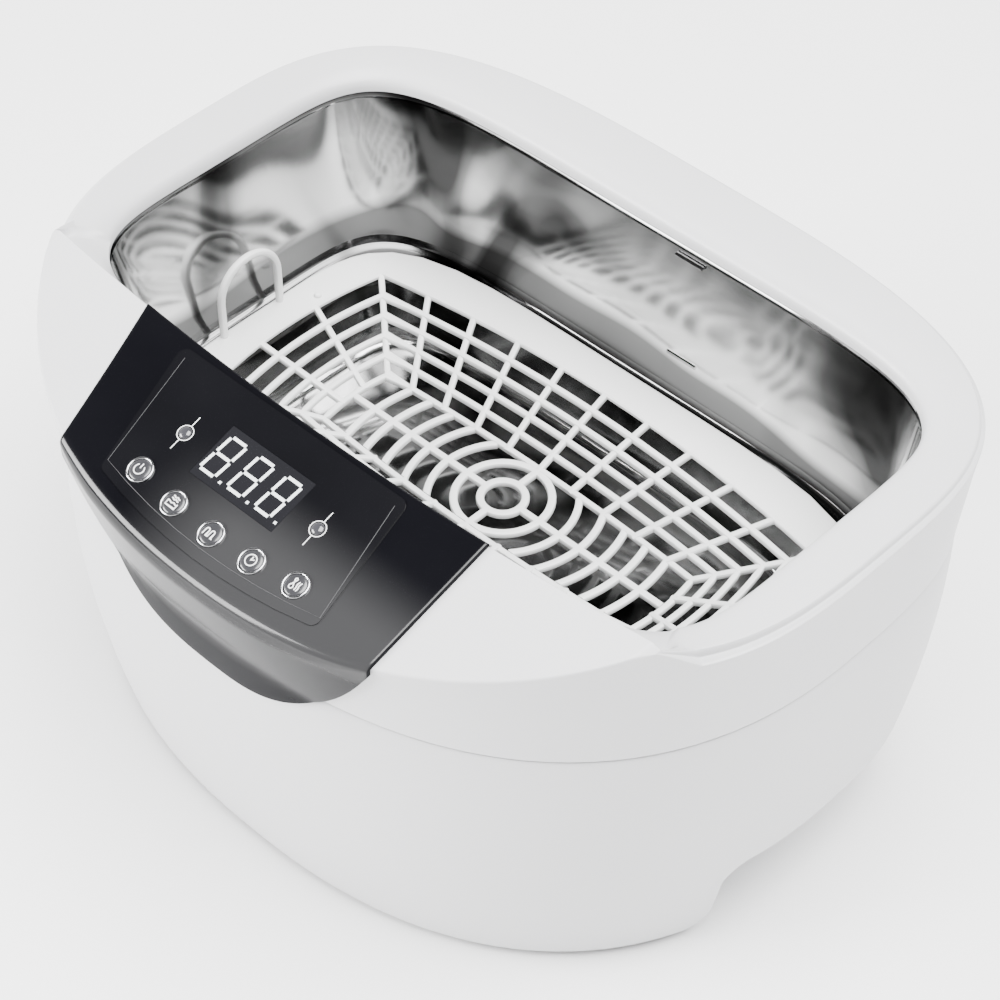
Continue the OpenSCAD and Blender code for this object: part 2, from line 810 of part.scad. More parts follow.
module display_screws() {
    color("silver")
    centred()
        on_console()
            for (x = [-window_half - 4, window_half + 4], s = [14, 40])
                translate([x, -s, -board_drop - board_t - 0.08])
                    screw(1.1, 5, 2.4);
}

// --- Ultrasonic drive and heating ---
tank_under = tank_floor - tank_wall;
module at_horns() {
    for (x = [-horn_x, horn_x])
        translate([x, 0, tank_under])
            children();
}
module transducer_horns() {
    color("silver")
    centred()
        at_horns()
            difference() {
                rotate_extrude()
                    polygon([[0, -0.1], [19, -0.1], [19, -2.4], [15.5, -14], [15.5, -15], [0, -15]]);
                translate([0, 0, -16])
                    cylinder(r = 3, h = 11);
            }
}
module piezo_rings() {
    color("tan")
    centred()
        at_horns()
            for (z = [-19.1, -23.4])
                translate([0, 0, z])
                    difference() {
                        cylinder(r = 15, h = 4);
                        translate([0, 0, -1])
                            cylinder(r = 6, h = 6);
                    }
}
module contact_plates() {
    color("gold")
    centred()
        at_horns()
            for (z = [-19.35, -23.65])
                translate([0, 0, z])
                    difference() {
                        union() {
                            cylinder(r = 15, h = 0.2);
                            translate([-2, 0, 0])
                                cube([4, 21, 0.2]);
                        }
                        translate([0, 0, -1])
                            cylinder(r = 6, h = 3);
                    }
}
module transducer_masses() {
    color("gray")
    centred()
        at_horns()
            translate([0, 0, -33.7])
                difference() {
                    cylinder(r = 15.5, h = 10);
                    translate([0, 0, -1])
                        cylinder(r = 3.2, h = 12);
                }
}
module transducer_bolts() {
    color("silver")
    centred()
        at_horns()
            translate([0, 0, -37.8]) {
                difference() {
                    cylinder(r = 4.8, h = 4);
                    translate([0, 0, -1])
                        cylinder(r = 2.2, h = 3.4, $fn = 6);
                }
                translate([0, 0, 3.9])
                    cylinder(r = 2.8, h = 26);
            }
}
module heater_pads() {
    color("orange")
    centred()
        for (pad = [[-86, 19], [-22, 44]])
            translate([pad[0], -20, tank_under - 1.9])
                cube([pad[1], 40, 1.8]);
}
module temperature_sensor() {
    color("white")
    centred()
        translate([76, 10, tank_under - 0.1])
            rotate([180, 0, 0])
                rotate_extrude()
                    polygon([[0, 0], [5, 0], [5, 2], [3, 2.2], [3, 9], [2, 10], [0, 10]]);
}
module power_board() {
    color("darkgreen")
    centred()
        difference() {
            translate([-58, -98, board_z + 0.05])
                cube([116, 40, board_t]);
            for (p = post_xy)
                translate([p[0], p[1], board_z - 1])
                    cylinder(r = 1.5, h = 4);
        }
}
top_z = board_z + board_t + 0.1;
module transformer() {
    color("goldenrod")
    centred()
        translate([-38, -79, top_z]) {
            translate([-13, -9, 0])
                cube([26, 18, 4]);
            translate([-13, -9, 22])
                cube([26, 18, 4]);
            for (x = [-13, 8])
                translate([x, -9, 3.9])
                    cube([5, 18, 18.2]);
            translate([0, 0, 3.9])
                cylinder(r = 7.6, h = 18.2);
        }
}
module heatsink() {
    color("silver")
    centred()
        translate([-14, -70, top_z]) {
            cube([44, 3, 28]);
            for (i = [0:6])
                translate([1 + i * 6.6, 2.9, 0])
                    cube([2, 8, 28]);
        }
}
module power_transistors() {
    color("black")
    centred()
        for (x = [-6, 12])
            translate([x, -74.6, top_z + 8])
                difference() {
                    union() {
                        cube([10, 4.5, 14]);
                        for (i = [0:2])
                            translate([1.6 + i * 2.7, 1.6, -8])
                                cube([1.1, 1.1, 8.1]);
                    }
                    translate([5, -1, 11])
                        rotate([-90, 0, 0])
                            cylinder(r = 1.6, h = 8);
                }
}
module capacitors() {
    color("navy")
    centred()
        for (p = [[40, -88, 8], [22, -89, 6.3], [6, -90, 5]])
            translate([p[0], p[1], top_z])
                rotate_extrude()
                    polygon([[0, 0], [p[2], 0], [p[2], p[2] * 2.6], [p[2] - 0.8, p[2] * 2.6 + 0.8],
                        [0, p[2] * 2.6 + 0.8]]);
}
module relay() {
    color("blue")
    centred()
        translate([-18, -96, top_z])
            cube([15, 18, 15]);
}
module board_screws() {
    color("silver")
    centred()
        for (p = post_xy)
            translate([p[0], p[1], board_z + board_t + 0.1])
                rotate([180, 0, 0])
                    screw(1.1, 7, 2.6);
}

// --- Mains inlet ---
module mains_inlet() {
    color("black")
    centred()
        translate([0, inlet_y, inlet_z])
            rotate([90, 0, 180])
                difference() {
                    union() {
                        translate([-13.7, -9.7, -20])
                            cube([27.4, 19.4, 28]);
                        translate([-25, -11.5, 6.6])
                            cube([50, 23, 3]);
                    }
                    translate([0, 0, -8])
                        linear_extrude(20)
                            polygon([[-12, -8], [12, -8], [12, 4], [8.5, 8], [-8.5, 8], [-12, 4]]);
                    for (x = [-20, 20])
                        translate([x, 0, 5])
                            cylinder(r = 1.7, h = 6);
                    for (x = [-7, 0, 7])
                        translate([x - 1.25, (x == 0 ? 2 : -2) - 2.25, -22])
                            cube([2.5, 4.5, 16]);
                }
}
module inlet_pins() {
    color("gold")
    centred()
        translate([0, inlet_y, inlet_z])
            rotate([90, 0, 180])
                for (x = [-7, 0, 7])
                    translate([x - 1, (x == 0 ? 2 : -2) - 2, -26])
                        cube([2, 4, 31]);
}
module inlet_screws() {
    color("silver")
    centred()
        for (x = [-20, 20])
            translate([x, inlet_y + 9.7, inlet_z])
                rotate([90, 0, 0])
                    screw(1.2, 14, 2.8);
}

// --- Wiring ---
// Round wires that follow square-cornered runs between the boards and the parts they feed
module run(points, r) {
    for (i = [0:len(points) - 2]) {
        a = points[i];
        b = points[i + 1];
        d = b - a;
        translate(a)
            rotate([0, acos(d[2] / norm(d)), atan2(d[1], d[0])])
                cylinder(r = r, h = norm(d));
    }
    for (i = [1:len(points) - 2])
        translate(points[i])
            sphere(r + 0.3);
}
module wire_harness() {
    color("red")
    centred() {
        run([[0, -99.5, 22], [0, -104.5, 60], [0, -104.5, 112]], 1.4);
        run([[56, -60, 22], [66, -30, 22], [46, -17, 24]], 1.1);
        run([[-56, -60, 22], [-66, -30, 22], [-46, -17, 24]], 1.1);
        run([[14, 50, 32], [24, 30, 12], [24, -50, 12]], 1.4);
    }
}

upper_housing();
lower_housing();
base_plate();
rubber_feet();
base_screws();
tank();
tank_gasket();
tank_clamps();
clamp_screws();
basket();
basket_floor();
basket_loops();
control_panel();
panel_overlay();
display_window();
left_indicator();
right_indicator();
power_button();
ultrasonic_button();
degas_button();
timer_button();
temperature_button();
button_rings();
display_module();
display_board();
tact_switches();
display_screws();
transducer_horns();
piezo_rings();
contact_plates();
transducer_masses();
transducer_bolts();
heater_pads();
temperature_sensor();
power_board();
transformer();
heatsink();
power_transistors();
capacitors();
relay();
board_screws();
mains_inlet();
inlet_pins();
inlet_screws();
wire_harness();
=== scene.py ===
import json
import math

import bmesh
import bpy
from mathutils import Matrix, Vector


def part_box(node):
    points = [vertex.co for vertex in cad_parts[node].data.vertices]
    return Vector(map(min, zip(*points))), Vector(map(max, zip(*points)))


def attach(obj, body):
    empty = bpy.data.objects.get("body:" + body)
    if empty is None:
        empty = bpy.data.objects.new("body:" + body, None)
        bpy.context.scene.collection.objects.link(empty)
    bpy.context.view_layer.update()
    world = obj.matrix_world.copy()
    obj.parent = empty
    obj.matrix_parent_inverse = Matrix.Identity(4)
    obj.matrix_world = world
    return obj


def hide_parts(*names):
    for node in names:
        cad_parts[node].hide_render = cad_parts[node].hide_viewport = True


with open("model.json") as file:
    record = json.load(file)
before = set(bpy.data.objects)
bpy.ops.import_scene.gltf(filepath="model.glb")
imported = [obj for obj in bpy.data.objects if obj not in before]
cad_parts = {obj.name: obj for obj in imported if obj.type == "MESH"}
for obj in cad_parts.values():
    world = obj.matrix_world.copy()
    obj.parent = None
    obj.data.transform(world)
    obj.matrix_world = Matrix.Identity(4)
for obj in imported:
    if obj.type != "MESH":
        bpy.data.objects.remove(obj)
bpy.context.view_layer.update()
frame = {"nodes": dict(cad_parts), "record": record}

# ---------------------------------------------------------------------------
# Sizes. Millimetres throughout, with x = y = 0 at the tank's centre line and
# z = 0 on the table. at() turns such a point into the frame's metres.
# ---------------------------------------------------------------------------
MM = 0.001
TANK_LOW, TANK_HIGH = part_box("tank")
TANK_Y = (TANK_LOW.y + TANK_HIGH.y) / 2 / MM


def at(x, y, z):
    return Vector((x * MM, (y + TANK_Y) * MM, z * MM))


SEAM_GAP = 0.3
SEAM_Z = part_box("upper_housing")[0].z / MM - SEAM_GAP
BASE_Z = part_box("lower_housing")[0].z / MM
RIM_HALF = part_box("upper_housing")[1].x / MM
WALL = 2.5
SKIN = 2.8
SHOULDER = 16
COLUMNS = 288
# Shares of the way up at which a wall gets a row of points
WALL_ROWS = (0.2, 0.4, 0.6, 0.8)

# The lip that laps the tank's flange, and the rim above it
LIP_T, FLANGE_DROP = 0.9, 1.3
TANK_TOP = TANK_HIGH.z / MM + FLANGE_DROP
RIM_Z = TANK_TOP + 5.7
LIP_TOP, LIP_OUT = TANK_TOP + 0.6, -1.2
LEDGE_Z = RIM_Z - 3
CREASE_Z = RIM_Z - 14.6
RIM_BACK, RIM_FRONT = 86.75, 102.25
RIM_Y = 6.6
RIM_POWER = 3.29
# The step outside the rim, at the back and at the console
STEP_WIDTH = (0.7, 3.9)
STEP_DROP = (0.4, 3.4)

# The console, whose rear edge bows; CONSOLE_END is the angle from the long axis where it starts
CONSOLE_HALF = 140.5
CONSOLE_FRONT = 127
CONSOLE_Y = -74
CONSOLE_Z = RIM_Z + 4
CONSOLE_BOW = 6
CONSOLE_REACH = 123
CONSOLE_END = 30.2
CONSOLE_SPAN = 90 - CONSOLE_END
TIP_DROOP = 1.5
CONSOLE_SLOPE = 0.33
CONSOLE_TILT = math.atan(CONSOLE_SLOPE)
FRONT_POWER = 2.2
SEAM_HALF, SEAM_BACK, SEAM_FRONT = 138, 93, 119.3
BASE_HALF, BASE_BACK, BASE_FRONT = 130.3, 83.4, 112.2
BODY_POWER_BACK, BASE_POWER_BACK, BODY_POWER_FRONT = 3.27, 2.4, 2.32
SIDE_BULGE = 3.7

TANK_HALF, TANK_DEPTH_HALF, TANK_POWER = 120, 67.5, 5.5
TANK_WALL = 0.9
TANK_LEDGE = TANK_TOP - 58.3
TANK_FLOOR = TANK_TOP - 84
# Filling levels: from x, to x and how far below the tank's top
LEVEL_MARKS = {"upper_mark": (9.3, 20, 4.8), "lower_mark": (10.5, 22.3, 42.4)}

# The panel's left and right sides at its rear edge and at its front edge
PANEL_REAR, PANEL_FRONT = (-75.5, 64.2), (-63.5, 63.2)
PANEL_X, PANEL_LEAN = -5.5, 0.16
PANEL_GAP, PANEL_T, PANEL_EDGE_R = 0.12, 1.4, 0.55
# The tongue hangs deepest at column TONGUE_MID; its left and right sides have their own powers
TONGUE_DROP = 41.4
TONGUE_MID = 0.08
TONGUE_POWERS = (3.5, 2.45)
# The rows between which the panel bends over the crease at row 1
FOLD = (0.94, 1.1)
FILM_TOP = PANEL_GAP + PANEL_T + 0.03 + 0.3
FILM_HALF, FILM_REAR_S, FILM_FRONT_S = 43, 4.5, 45
PRINT_H = FILM_TOP + 0.04
DIGIT_H = PANEL_GAP + PANEL_T + 0.36
WINDOW_HALF, WINDOW_S = 39, (8, 47)
DISPLAY_S, DISPLAY_W, DISPLAY_H = 21.7, 34, 18.6
LAMP_S, LAMP_X = 22.5, 27.2
BUTTON_PITCH, BUTTON_S, BUTTON_ARC = 16, 41.5, 2.6
RING_R, RING_BORE, CAP_R, CAP_TOP = 4.2, 3.5, 3.4, 2.1
LAMP_R = 2
HOLE_GAP = 0.05

# The hand holds at the two ends
ARCH_W, ARCH_H, ARCH_R, POCKET_IN = 84, 32, 9, 98


# ---------------------------------------------------------------------------
# Outlines
# ---------------------------------------------------------------------------
def mix(a, b, t):
    return a + (b - a) * t


def mix2(p, q, t):
    return (mix(p[0], q[0], t), mix(p[1], q[1], t))


def smooth(t):
    t = min(1, max(0, t))
    return t * t * (3 - 2 * t)


def signed_power(value, power):
    return math.copysign(abs(value) ** power, value)


def oval(a, back, front, n_back, n_front, y0, degrees):
    """A point of a rounded oblong whose back and front half-depths may differ."""
    c, s = math.cos(math.radians(degrees)), math.sin(math.radians(degrees))
    n, b = (n_back, back) if s >= 0 else (n_front, front)
    return (a * signed_power(c, 2 / n), y0 + b * signed_power(s, 2 / n))


def body_outline(z):
    """The housing at height z: half-length, half-depths behind and in front, and their powers."""
    low = max(0, (SEAM_Z - z) / (SEAM_Z - BASE_Z))
    up = min(1, max(0, (z - SEAM_Z) / (CREASE_Z - SEAM_Z)))
    swell = 4 * low * (1 - low) * SIDE_BULGE
    if z < SEAM_Z:
        a, f = mix(SEAM_HALF, BASE_HALF, low) + swell, mix(SEAM_FRONT, BASE_FRONT, low) + swell
    else:
        a, f = mix(SEAM_HALF, CONSOLE_HALF, up), mix(SEAM_FRONT, CONSOLE_FRONT, up)
    b = mix(SEAM_BACK, BASE_BACK, low) + swell
    return a, b, f, mix(BODY_POWER_BACK, BASE_POWER_BACK, low), mix(BODY_POWER_FRONT, FRONT_POWER, up)


def body_at(z, inset, t):
    """The housing's outside at height z, moved in by inset."""
    a, b, f, n_back, n_front = body_outline(z)
    return oval(a - inset, b - inset, f - inset, n_back, n_front, 0, t)


def rim_at(inset, t):
    return oval(RIM_HALF - inset, RIM_BACK - inset, RIM_FRONT - inset, RIM_POWER, RIM_POWER, RIM_Y, t)


def tank_at(inset, t):
    """The tank's outline; its long walls lean in less than its ends do."""
    side = 0.7 * inset if inset > 0 else inset
    half = TANK_DEPTH_HALF - side
    return oval(TANK_HALF - inset, half, half, TANK_POWER, TANK_POWER, 0, t)


def plane_z(y):
    return CONSOLE_Z + CONSOLE_SLOPE * (y - CONSOLE_Y)


def on_console(x, s, h=0.0):
    """A point of the console: x across from the panel's middle, s down the slope, h out of it."""
    c, n = math.cos(CONSOLE_TILT), math.sin(CONSOLE_TILT)
    return at(PANEL_X + x, CONSOLE_Y - s * c - h * n, CONSOLE_Z - s * n + h * c)


def lean(s):
    """How far to the right a feature stands for being further down the panel."""
    return PANEL_LEAN * (s - DISPLAY_S)


def button_places():
    """The buttons' centres, as x and s on the console."""
    places = []
    for i in range(-2, 3):
        s = BUTTON_S - BUTTON_ARC * (i / 2) ** 2
        places.append((i * BUTTON_PITCH + lean(s), s))
    return places


# ---------------------------------------------------------------------------
# Mesh tools
# ---------------------------------------------------------------------------
def new_object(name, points, faces, sharp=35):
    mesh = bpy.data.meshes.new(name)
    mesh.from_pydata([tuple(p) for p in points], [], faces)
    mesh.update()
    obj = bpy.data.objects.new(name, mesh)
    bpy.context.scene.collection.objects.link(obj)
    shade(obj, sharp)
    return obj


def shade(obj, sharp=35):
    """Smooth shading that breaks at corners sharper than an angle in degrees."""
    obj.data.shade_smooth()
    obj.data.set_sharp_from_angle(angle=math.radians(sharp))


def grid(rows, closed_rows=False, closed_columns=False, caps=False):
    """Points and faces of a grid of rows; caps closes the first and the last row."""
    count, width = len(rows), len(rows[0])
    points = [p for row in rows for p in row]
    faces = []
    for i in range(count if closed_rows else count - 1):
        for j in range(width if closed_columns else width - 1):
            i2, j2 = (i + 1) % count, (j + 1) % width
            faces.append((i * width + j, i * width + j2, i2 * width + j2, i2 * width + j))
    if caps:
        faces.append(tuple(reversed(range(width))))
        faces.append(tuple((count - 1) * width + j for j in range(width)))
    return points, faces


def rounded(corners, steps=4):
    """A line through corners (point, radius), where each corner with a radius becomes a curve."""
    line = []
    for k, (p, radius) in enumerate(corners):
        if radius == 0 or k in (0, len(corners) - 1):
            line.append(p)
            continue
        before, after = corners[k - 1][0] - p, corners[k + 1][0] - p
        reach = min(radius, 0.45 * before.length / MM, 0.45 * after.length / MM) * MM
        start = p + before.normalized() * reach
        end = p + after.normalized() * reach
        line.append(start + before.normalized() * 0.25 * reach)
        for i in range(steps + 1):
            u = i / steps
            line.append(start * (1 - u) ** 2 + p * 2 * u * (1 - u) + end * u * u)
        line.append(end + after.normalized() * 0.25 * reach)
    return line


def combine(obj, other, operation):
    """Adds, cuts or intersects a closed mesh, and removes the other object."""
    modifier = obj.modifiers.new("combine", "BOOLEAN")
    modifier.operation = operation
    modifier.solver = "MANIFOLD"
    modifier.object = other
    bpy.context.view_layer.update()
    graph = bpy.context.evaluated_depsgraph_get()
    mesh = bpy.data.meshes.new_from_object(obj.evaluated_get(graph))
    obj.modifiers.clear()
    old = obj.data
    obj.data = mesh
    bpy.data.meshes.remove(old)
    bpy.data.objects.remove(other)
    return obj


def union(objects):
    """One solid from many, joined pair by pair."""
    while len(objects) > 1:
        pairs = [objects[i : i + 2] for i in range(0, len(objects), 2)]
        objects = [combine(*pair, "UNION") if len(pair) == 2 else pair[0] for pair in pairs]
    return objects[0]


def join(name, objects):
    """One named object from several that stay separate solids."""
    mesh = bmesh.new()
    for obj in objects:
        mesh.from_mesh(obj.data)
    for obj in objects[1:]:
        bpy.data.objects.remove(obj)
    mesh.to_mesh(objects[0].data)
    mesh.free()
    objects[0].name = name
    return objects[0]


def block(name, low, high):
    """A box between two corners given in millimetres."""
    xs, ys, zs = zip(low, high)
    outline = ((xs[0], ys[0]), (xs[1], ys[0]), (xs[1], ys[1]), (xs[0], ys[1]))
    rows = [[at(x, y, z) for x, y in outline] for z in zs]
    return new_object(name, *grid(rows, closed_columns=True, caps=True))


def lathe(name, profile, place, steps=64):
    """Turns a profile of (radius, height) pairs about the axis that place(x, y, height) sets."""
    rows = []
    for radius, height in profile:
        radius = max(radius, 0.0005)
        ring = []
        for j in range(steps):
            turn = 2 * math.pi * j / steps
            ring.append(place(radius * math.cos(turn), radius * math.sin(turn), height))
        rows.append(ring)
    return new_object(name, *grid(rows, closed_columns=True, caps=True))


def sweep(name, path, width, height, closed=False, up=Vector((0, 0, 1)), corner=0.3):
    """A bar of rounded rectangular section along a path in metres; width lies across up."""
    half_w, half_h = width / 2 * MM, height / 2 * MM
    cut = corner * min(width, height) * MM
    soft = cut * 0.3
    quarter = [(half_w, half_h - cut), (half_w - soft, half_h - soft), (half_w - cut, half_h)]
    section = quarter + [(-w, h) for w, h in reversed(quarter)]
    section += [(-w, -h) for w, h in quarter] + [(w, -h) for w, h in reversed(quarter)]
    rows = []
    count = len(path)
    for i, p in enumerate(path):
        before = path[(i - 1) % count] if closed or i else p
        after = path[(i + 1) % count] if closed or i < count - 1 else p
        along = (after - before).normalized()
        side = along.cross(up).normalized()
        top = side.cross(along)
        stretch = 1.0
        if closed or 0 < i < count - 1:
            bend = (after - p).normalized().dot(side)
            stretch = 1 / max(0.5, math.sqrt(max(0.0, 1 - bend * bend)))
        rows.append([p + side * (w * stretch) + top * h for w, h in section])
    if closed:
        return new_object(name, *grid(rows, closed_rows=True, closed_columns=True))
    return new_object(name, *grid(rows, closed_columns=True, caps=True))


def facing_out(obj):
    """Turns every face of a closed mesh outwards."""
    mesh = bmesh.new()
    mesh.from_mesh(obj.data)
    bmesh.ops.recalc_face_normals(mesh, faces=mesh.faces)
    mesh.to_mesh(obj.data)
    mesh.free()
    return obj


# ---------------------------------------------------------------------------
# Housing
# ---------------------------------------------------------------------------
def lift(p, z):
    return at(p[0], p[1], z)


def console_tip(t):
    """0 on the console, 1 on the rim, with a soft step between them at the console's ends."""
    from_end = CONSOLE_SPAN - abs((t % 360) - 270)
    return 1 - smooth((from_end + 1.1) / 2.2)


def inner_rows(t):
    """The underside of the rim and the inside of the wall, down to the seam."""
    return [
        (lift(tank_at(LIP_OUT + 0.1, t), TANK_TOP - LIP_T), 0),
        (lift(tank_at(-3.4, t), TANK_TOP - LIP_T), 0),
        (lift(tank_at(-8, t), RIM_Z - SKIN - 0.6), 0),
        (lift(mix2(tank_at(-8, t), body_at(SEAM_Z + SHOULDER, WALL, t), 0.6), LEDGE_Z - SKIN - 5), 0),
        (lift(body_at(SEAM_Z + SHOULDER, WALL, t), SEAM_Z + SHOULDER), 0),
        (lift(body_at(SEAM_Z, WALL, t), SEAM_Z + SEAM_GAP), 0),
    ]


def seam_rows(t):
    return [
        (lift(body_at(SEAM_Z, 0.5, t), SEAM_Z + SEAM_GAP), 0),
        (lift(body_at(SEAM_Z, 0, t), SEAM_Z + SEAM_GAP + 0.6), 0.3),
    ]


def rim_section(t):
    """The ledge outside the rim is narrow behind and widens towards the console."""
    front = (1 - math.sin(math.radians(t))) / 2
    ledge = mix(*STEP_WIDTH, front)
    edge_z = RIM_Z - mix(*STEP_DROP, front)
    seam, rim = body_at(SEAM_Z, 0, t), rim_at(0.5, t)
    wall = [
        (lift(mix2(seam, rim, smooth(u) * 0.3 + u * 0.7), mix(SEAM_Z, edge_z - 1, u)), 0) for u in WALL_ROWS
    ]
    top = [
        (lift(rim_at(0, t), edge_z), mix(0.5, 1.3, front)),
        (lift(rim_at(ledge - 0.3, t), edge_z - 0.1), 0.5),
        (lift(rim_at(ledge, t), RIM_Z), mix(0.5, 1.9, front)),
        (lift(tank_at(-10, t), RIM_Z), 0),
    ]
    roll_top = RIM_Z - 0.2
    roll_drop = roll_top - LIP_TOP
    roll = [
        (lift(tank_at(mix(-9, LIP_OUT, u), t), roll_top - roll_drop * (1 - math.sqrt(1 - u * u))), 0)
        for u in (0, 0.25, 0.45, 0.62, 0.76, 0.87, 0.95, 1)
    ]
    return seam_rows(t) + wall + top + roll + inner_rows(t)


def console_rear(t):
    """A point of the console's rear edge, for the column at angle t."""
    c = math.cos(math.radians(t)) / math.cos(math.radians(CONSOLE_END))
    x = CONSOLE_REACH * signed_power(c, 0.6)
    x = max(-CONSOLE_REACH, min(CONSOLE_REACH, x))
    return (x, CONSOLE_Y + CONSOLE_BOW * (x / CONSOLE_REACH) ** 2)


def console_section(t):
    edge, rear = body_at(CREASE_Z, 0, t), console_rear(t)
    droop = TIP_DROOP * (1 - smooth((CONSOLE_SPAN - abs((t % 360) - 270)) / 5))
    edge_z = plane_z(edge[1]) - droop
    rear_z = plane_z(rear[1]) - droop
    seam = body_at(SEAM_Z, 0, t)
    wall = [(lift(mix2(seam, edge, u), mix(SEAM_Z, edge_z, u)), 0) for u in WALL_ROWS]
    top = [
        (lift(edge, edge_z), 1.2),
        (lift(mix2(edge, rear, 0.4), mix(edge_z, rear_z, 0.4)), 0.3),
        (lift(mix2(edge, rear, 0.7), mix(edge_z, rear_z, 0.7)), 0.3),
        (lift(rear, rear_z), 0),
    ]
    foot = (rear[0], rear[1] + 0.4)
    inner = tank_at(LIP_OUT, t)
    roll = [
        (lift((rear[0], rear[1] + 0.3), rear_z - 0.35), 0),
        (lift(foot, mix(rear_z, RIM_Z, 0.8)), 0),
    ]
    roll += [
        (lift(mix2(foot, inner, u), RIM_Z - (RIM_Z - LIP_TOP) * u ** 2.2), 0)
        for u in (0.06, 0.25, 0.45, 0.65, 0.85, 1)
    ]
    return seam_rows(t) + wall + top + roll + inner_rows(t)


def housing_angles():
    """Even columns, with close ones where the console meets the rim."""
    even = [i * 360 / COLUMNS for i in range(COLUMNS)]
    ends = [270 + side * (CONSOLE_SPAN + 0.25 * k) for side in (-1, 1) for k in range(-20, 10)]
    near = [t for t in even if all(abs(t - e) > 0.3 for e in ends)]
    return sorted(near + ends)


def upper_shell():
    columns = []
    for t in housing_angles():
        share = console_tip(t)
        if share <= 0:
            section = rounded(console_section(t))
        elif share >= 1:
            section = rounded(rim_section(t))
        else:
            pairs = zip(rounded(console_section(t)), rounded(rim_section(t)))
            section = [a.lerp(b, share) for a, b in pairs]
        columns.append(section)
    shell = facing_out(new_object("upper_housing_shell", *grid(columns, True, True)))
    combine(shell, console_block("window", WINDOW_HALF, WINDOW_S, (-9, 8)), "DIFFERENCE")
    shade(shell, 32)
    return shell


def console_block(name, half_x, s_range, h_range):
    corners = [(-half_x, s_range[0]), (-half_x, s_range[1]), (half_x, s_range[1]), (half_x, s_range[0])]
    rows = [[on_console(x, s, h) for x, s in corners] for h in h_range]
    return facing_out(new_object(name, *grid(rows, closed_columns=True, caps=True)))


def lower_section(t):
    """Up the outside, over the lip that locates the upper housing, and down the inside."""
    lip_in, lip_out = WALL + 0.15, WALL + 1.6

    def wall(inset, shares):
        levels = [mix(BASE_Z, SEAM_Z, u) for u in shares]
        return [lift(body_at(z, inset, t), z) for z in levels]

    foot = [lift(body_at(BASE_Z, 1.6, t), BASE_Z), lift(body_at(BASE_Z, 0.3, t), BASE_Z + 0.5)]
    outside = wall(0, (0.03, 0.1, 0.2, 0.3, 0.4, 0.5, 0.6, 0.7, 0.8, 0.9, 0.99))
    lip = [
        lift(body_at(SEAM_Z, inset, t), SEAM_Z + rise)
        for inset, rise in ((0.5, 0), (lip_in, 0), (lip_in, 3), (lip_out, 3), (lip_out, -4))
    ]
    return foot + outside + lip + wall(WALL, (0.8, 0.6, 0.4, 0.2, 0))


def arch_outline(grow, flare):
    """Half the arch's opening from its foot to its crown, mirrored: a list of (y, z)."""
    half, top = ARCH_W / 2 + grow, BASE_Z + ARCH_H + grow
    side = [(half + flare, BASE_Z - 2)]
    side += [(half + flare * (1 - u) ** 2.2, BASE_Z + 10 * u) for u in (0, 0.15, 0.3, 0.45, 0.6, 0.8, 1)]
    centre_y, centre_z = half - ARCH_R, top - ARCH_R
    for k in range(9):
        turn = math.radians(90 * k / 8)
        side.append((centre_y + ARCH_R * math.cos(turn), centre_z + ARCH_R * math.sin(turn)))
    return side + [(-y, z) for y, z in reversed(side)]


def arch(name, side, x0, x1, grow=0, flare=0):
    rows = [[at(side * x, y, z) for y, z in arch_outline(grow, flare)] for x in (x0, x1)]
    return facing_out(new_object(name, *grid(rows, closed_columns=True, caps=True)))


def lower_shell():
    angles = [i * 360 / COLUMNS for i in range(COLUMNS)]
    columns = [lower_section(t) for t in angles]
    shell = facing_out(new_object("lower_housing_shell", *grid(columns, True, True)))
    for side in (-1, 1):
        liner = arch("liner", side, POCKET_IN, BASE_HALF + 8, grow=WALL)
        levels = [mix(BASE_Z, SEAM_Z, i / 8) for i in range(9)]
        body = [[lift(body_at(z, 0.5, t), z) for t in angles] for z in levels]
        inside = facing_out(new_object("inside", *grid(body, closed_columns=True, caps=True)))
        combine(liner, inside, "INTERSECT")
        combine(shell, liner, "UNION")
        combine(shell, arch("opening", side, POCKET_IN + WALL, BASE_HALF + 20, flare=7), "DIFFERENCE")
    # The flat seat behind the mains inlet's flange, the recess round it and the hole through it
    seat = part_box("mains_inlet")[1].y / MM - TANK_Y - 3.05
    combine(shell, block("seat", (-29, seat - 3, 17), (29, seat + 1.5, 47)), "UNION")
    combine(shell, block("recess", (-27, seat, 19), (27, seat + 20, 45)), "DIFFERENCE")
    combine(shell, block("hole", (-14, seat - 20, 22), (14, seat + 4, 42)), "DIFFERENCE")
    shade(shell, 32)
    return shell


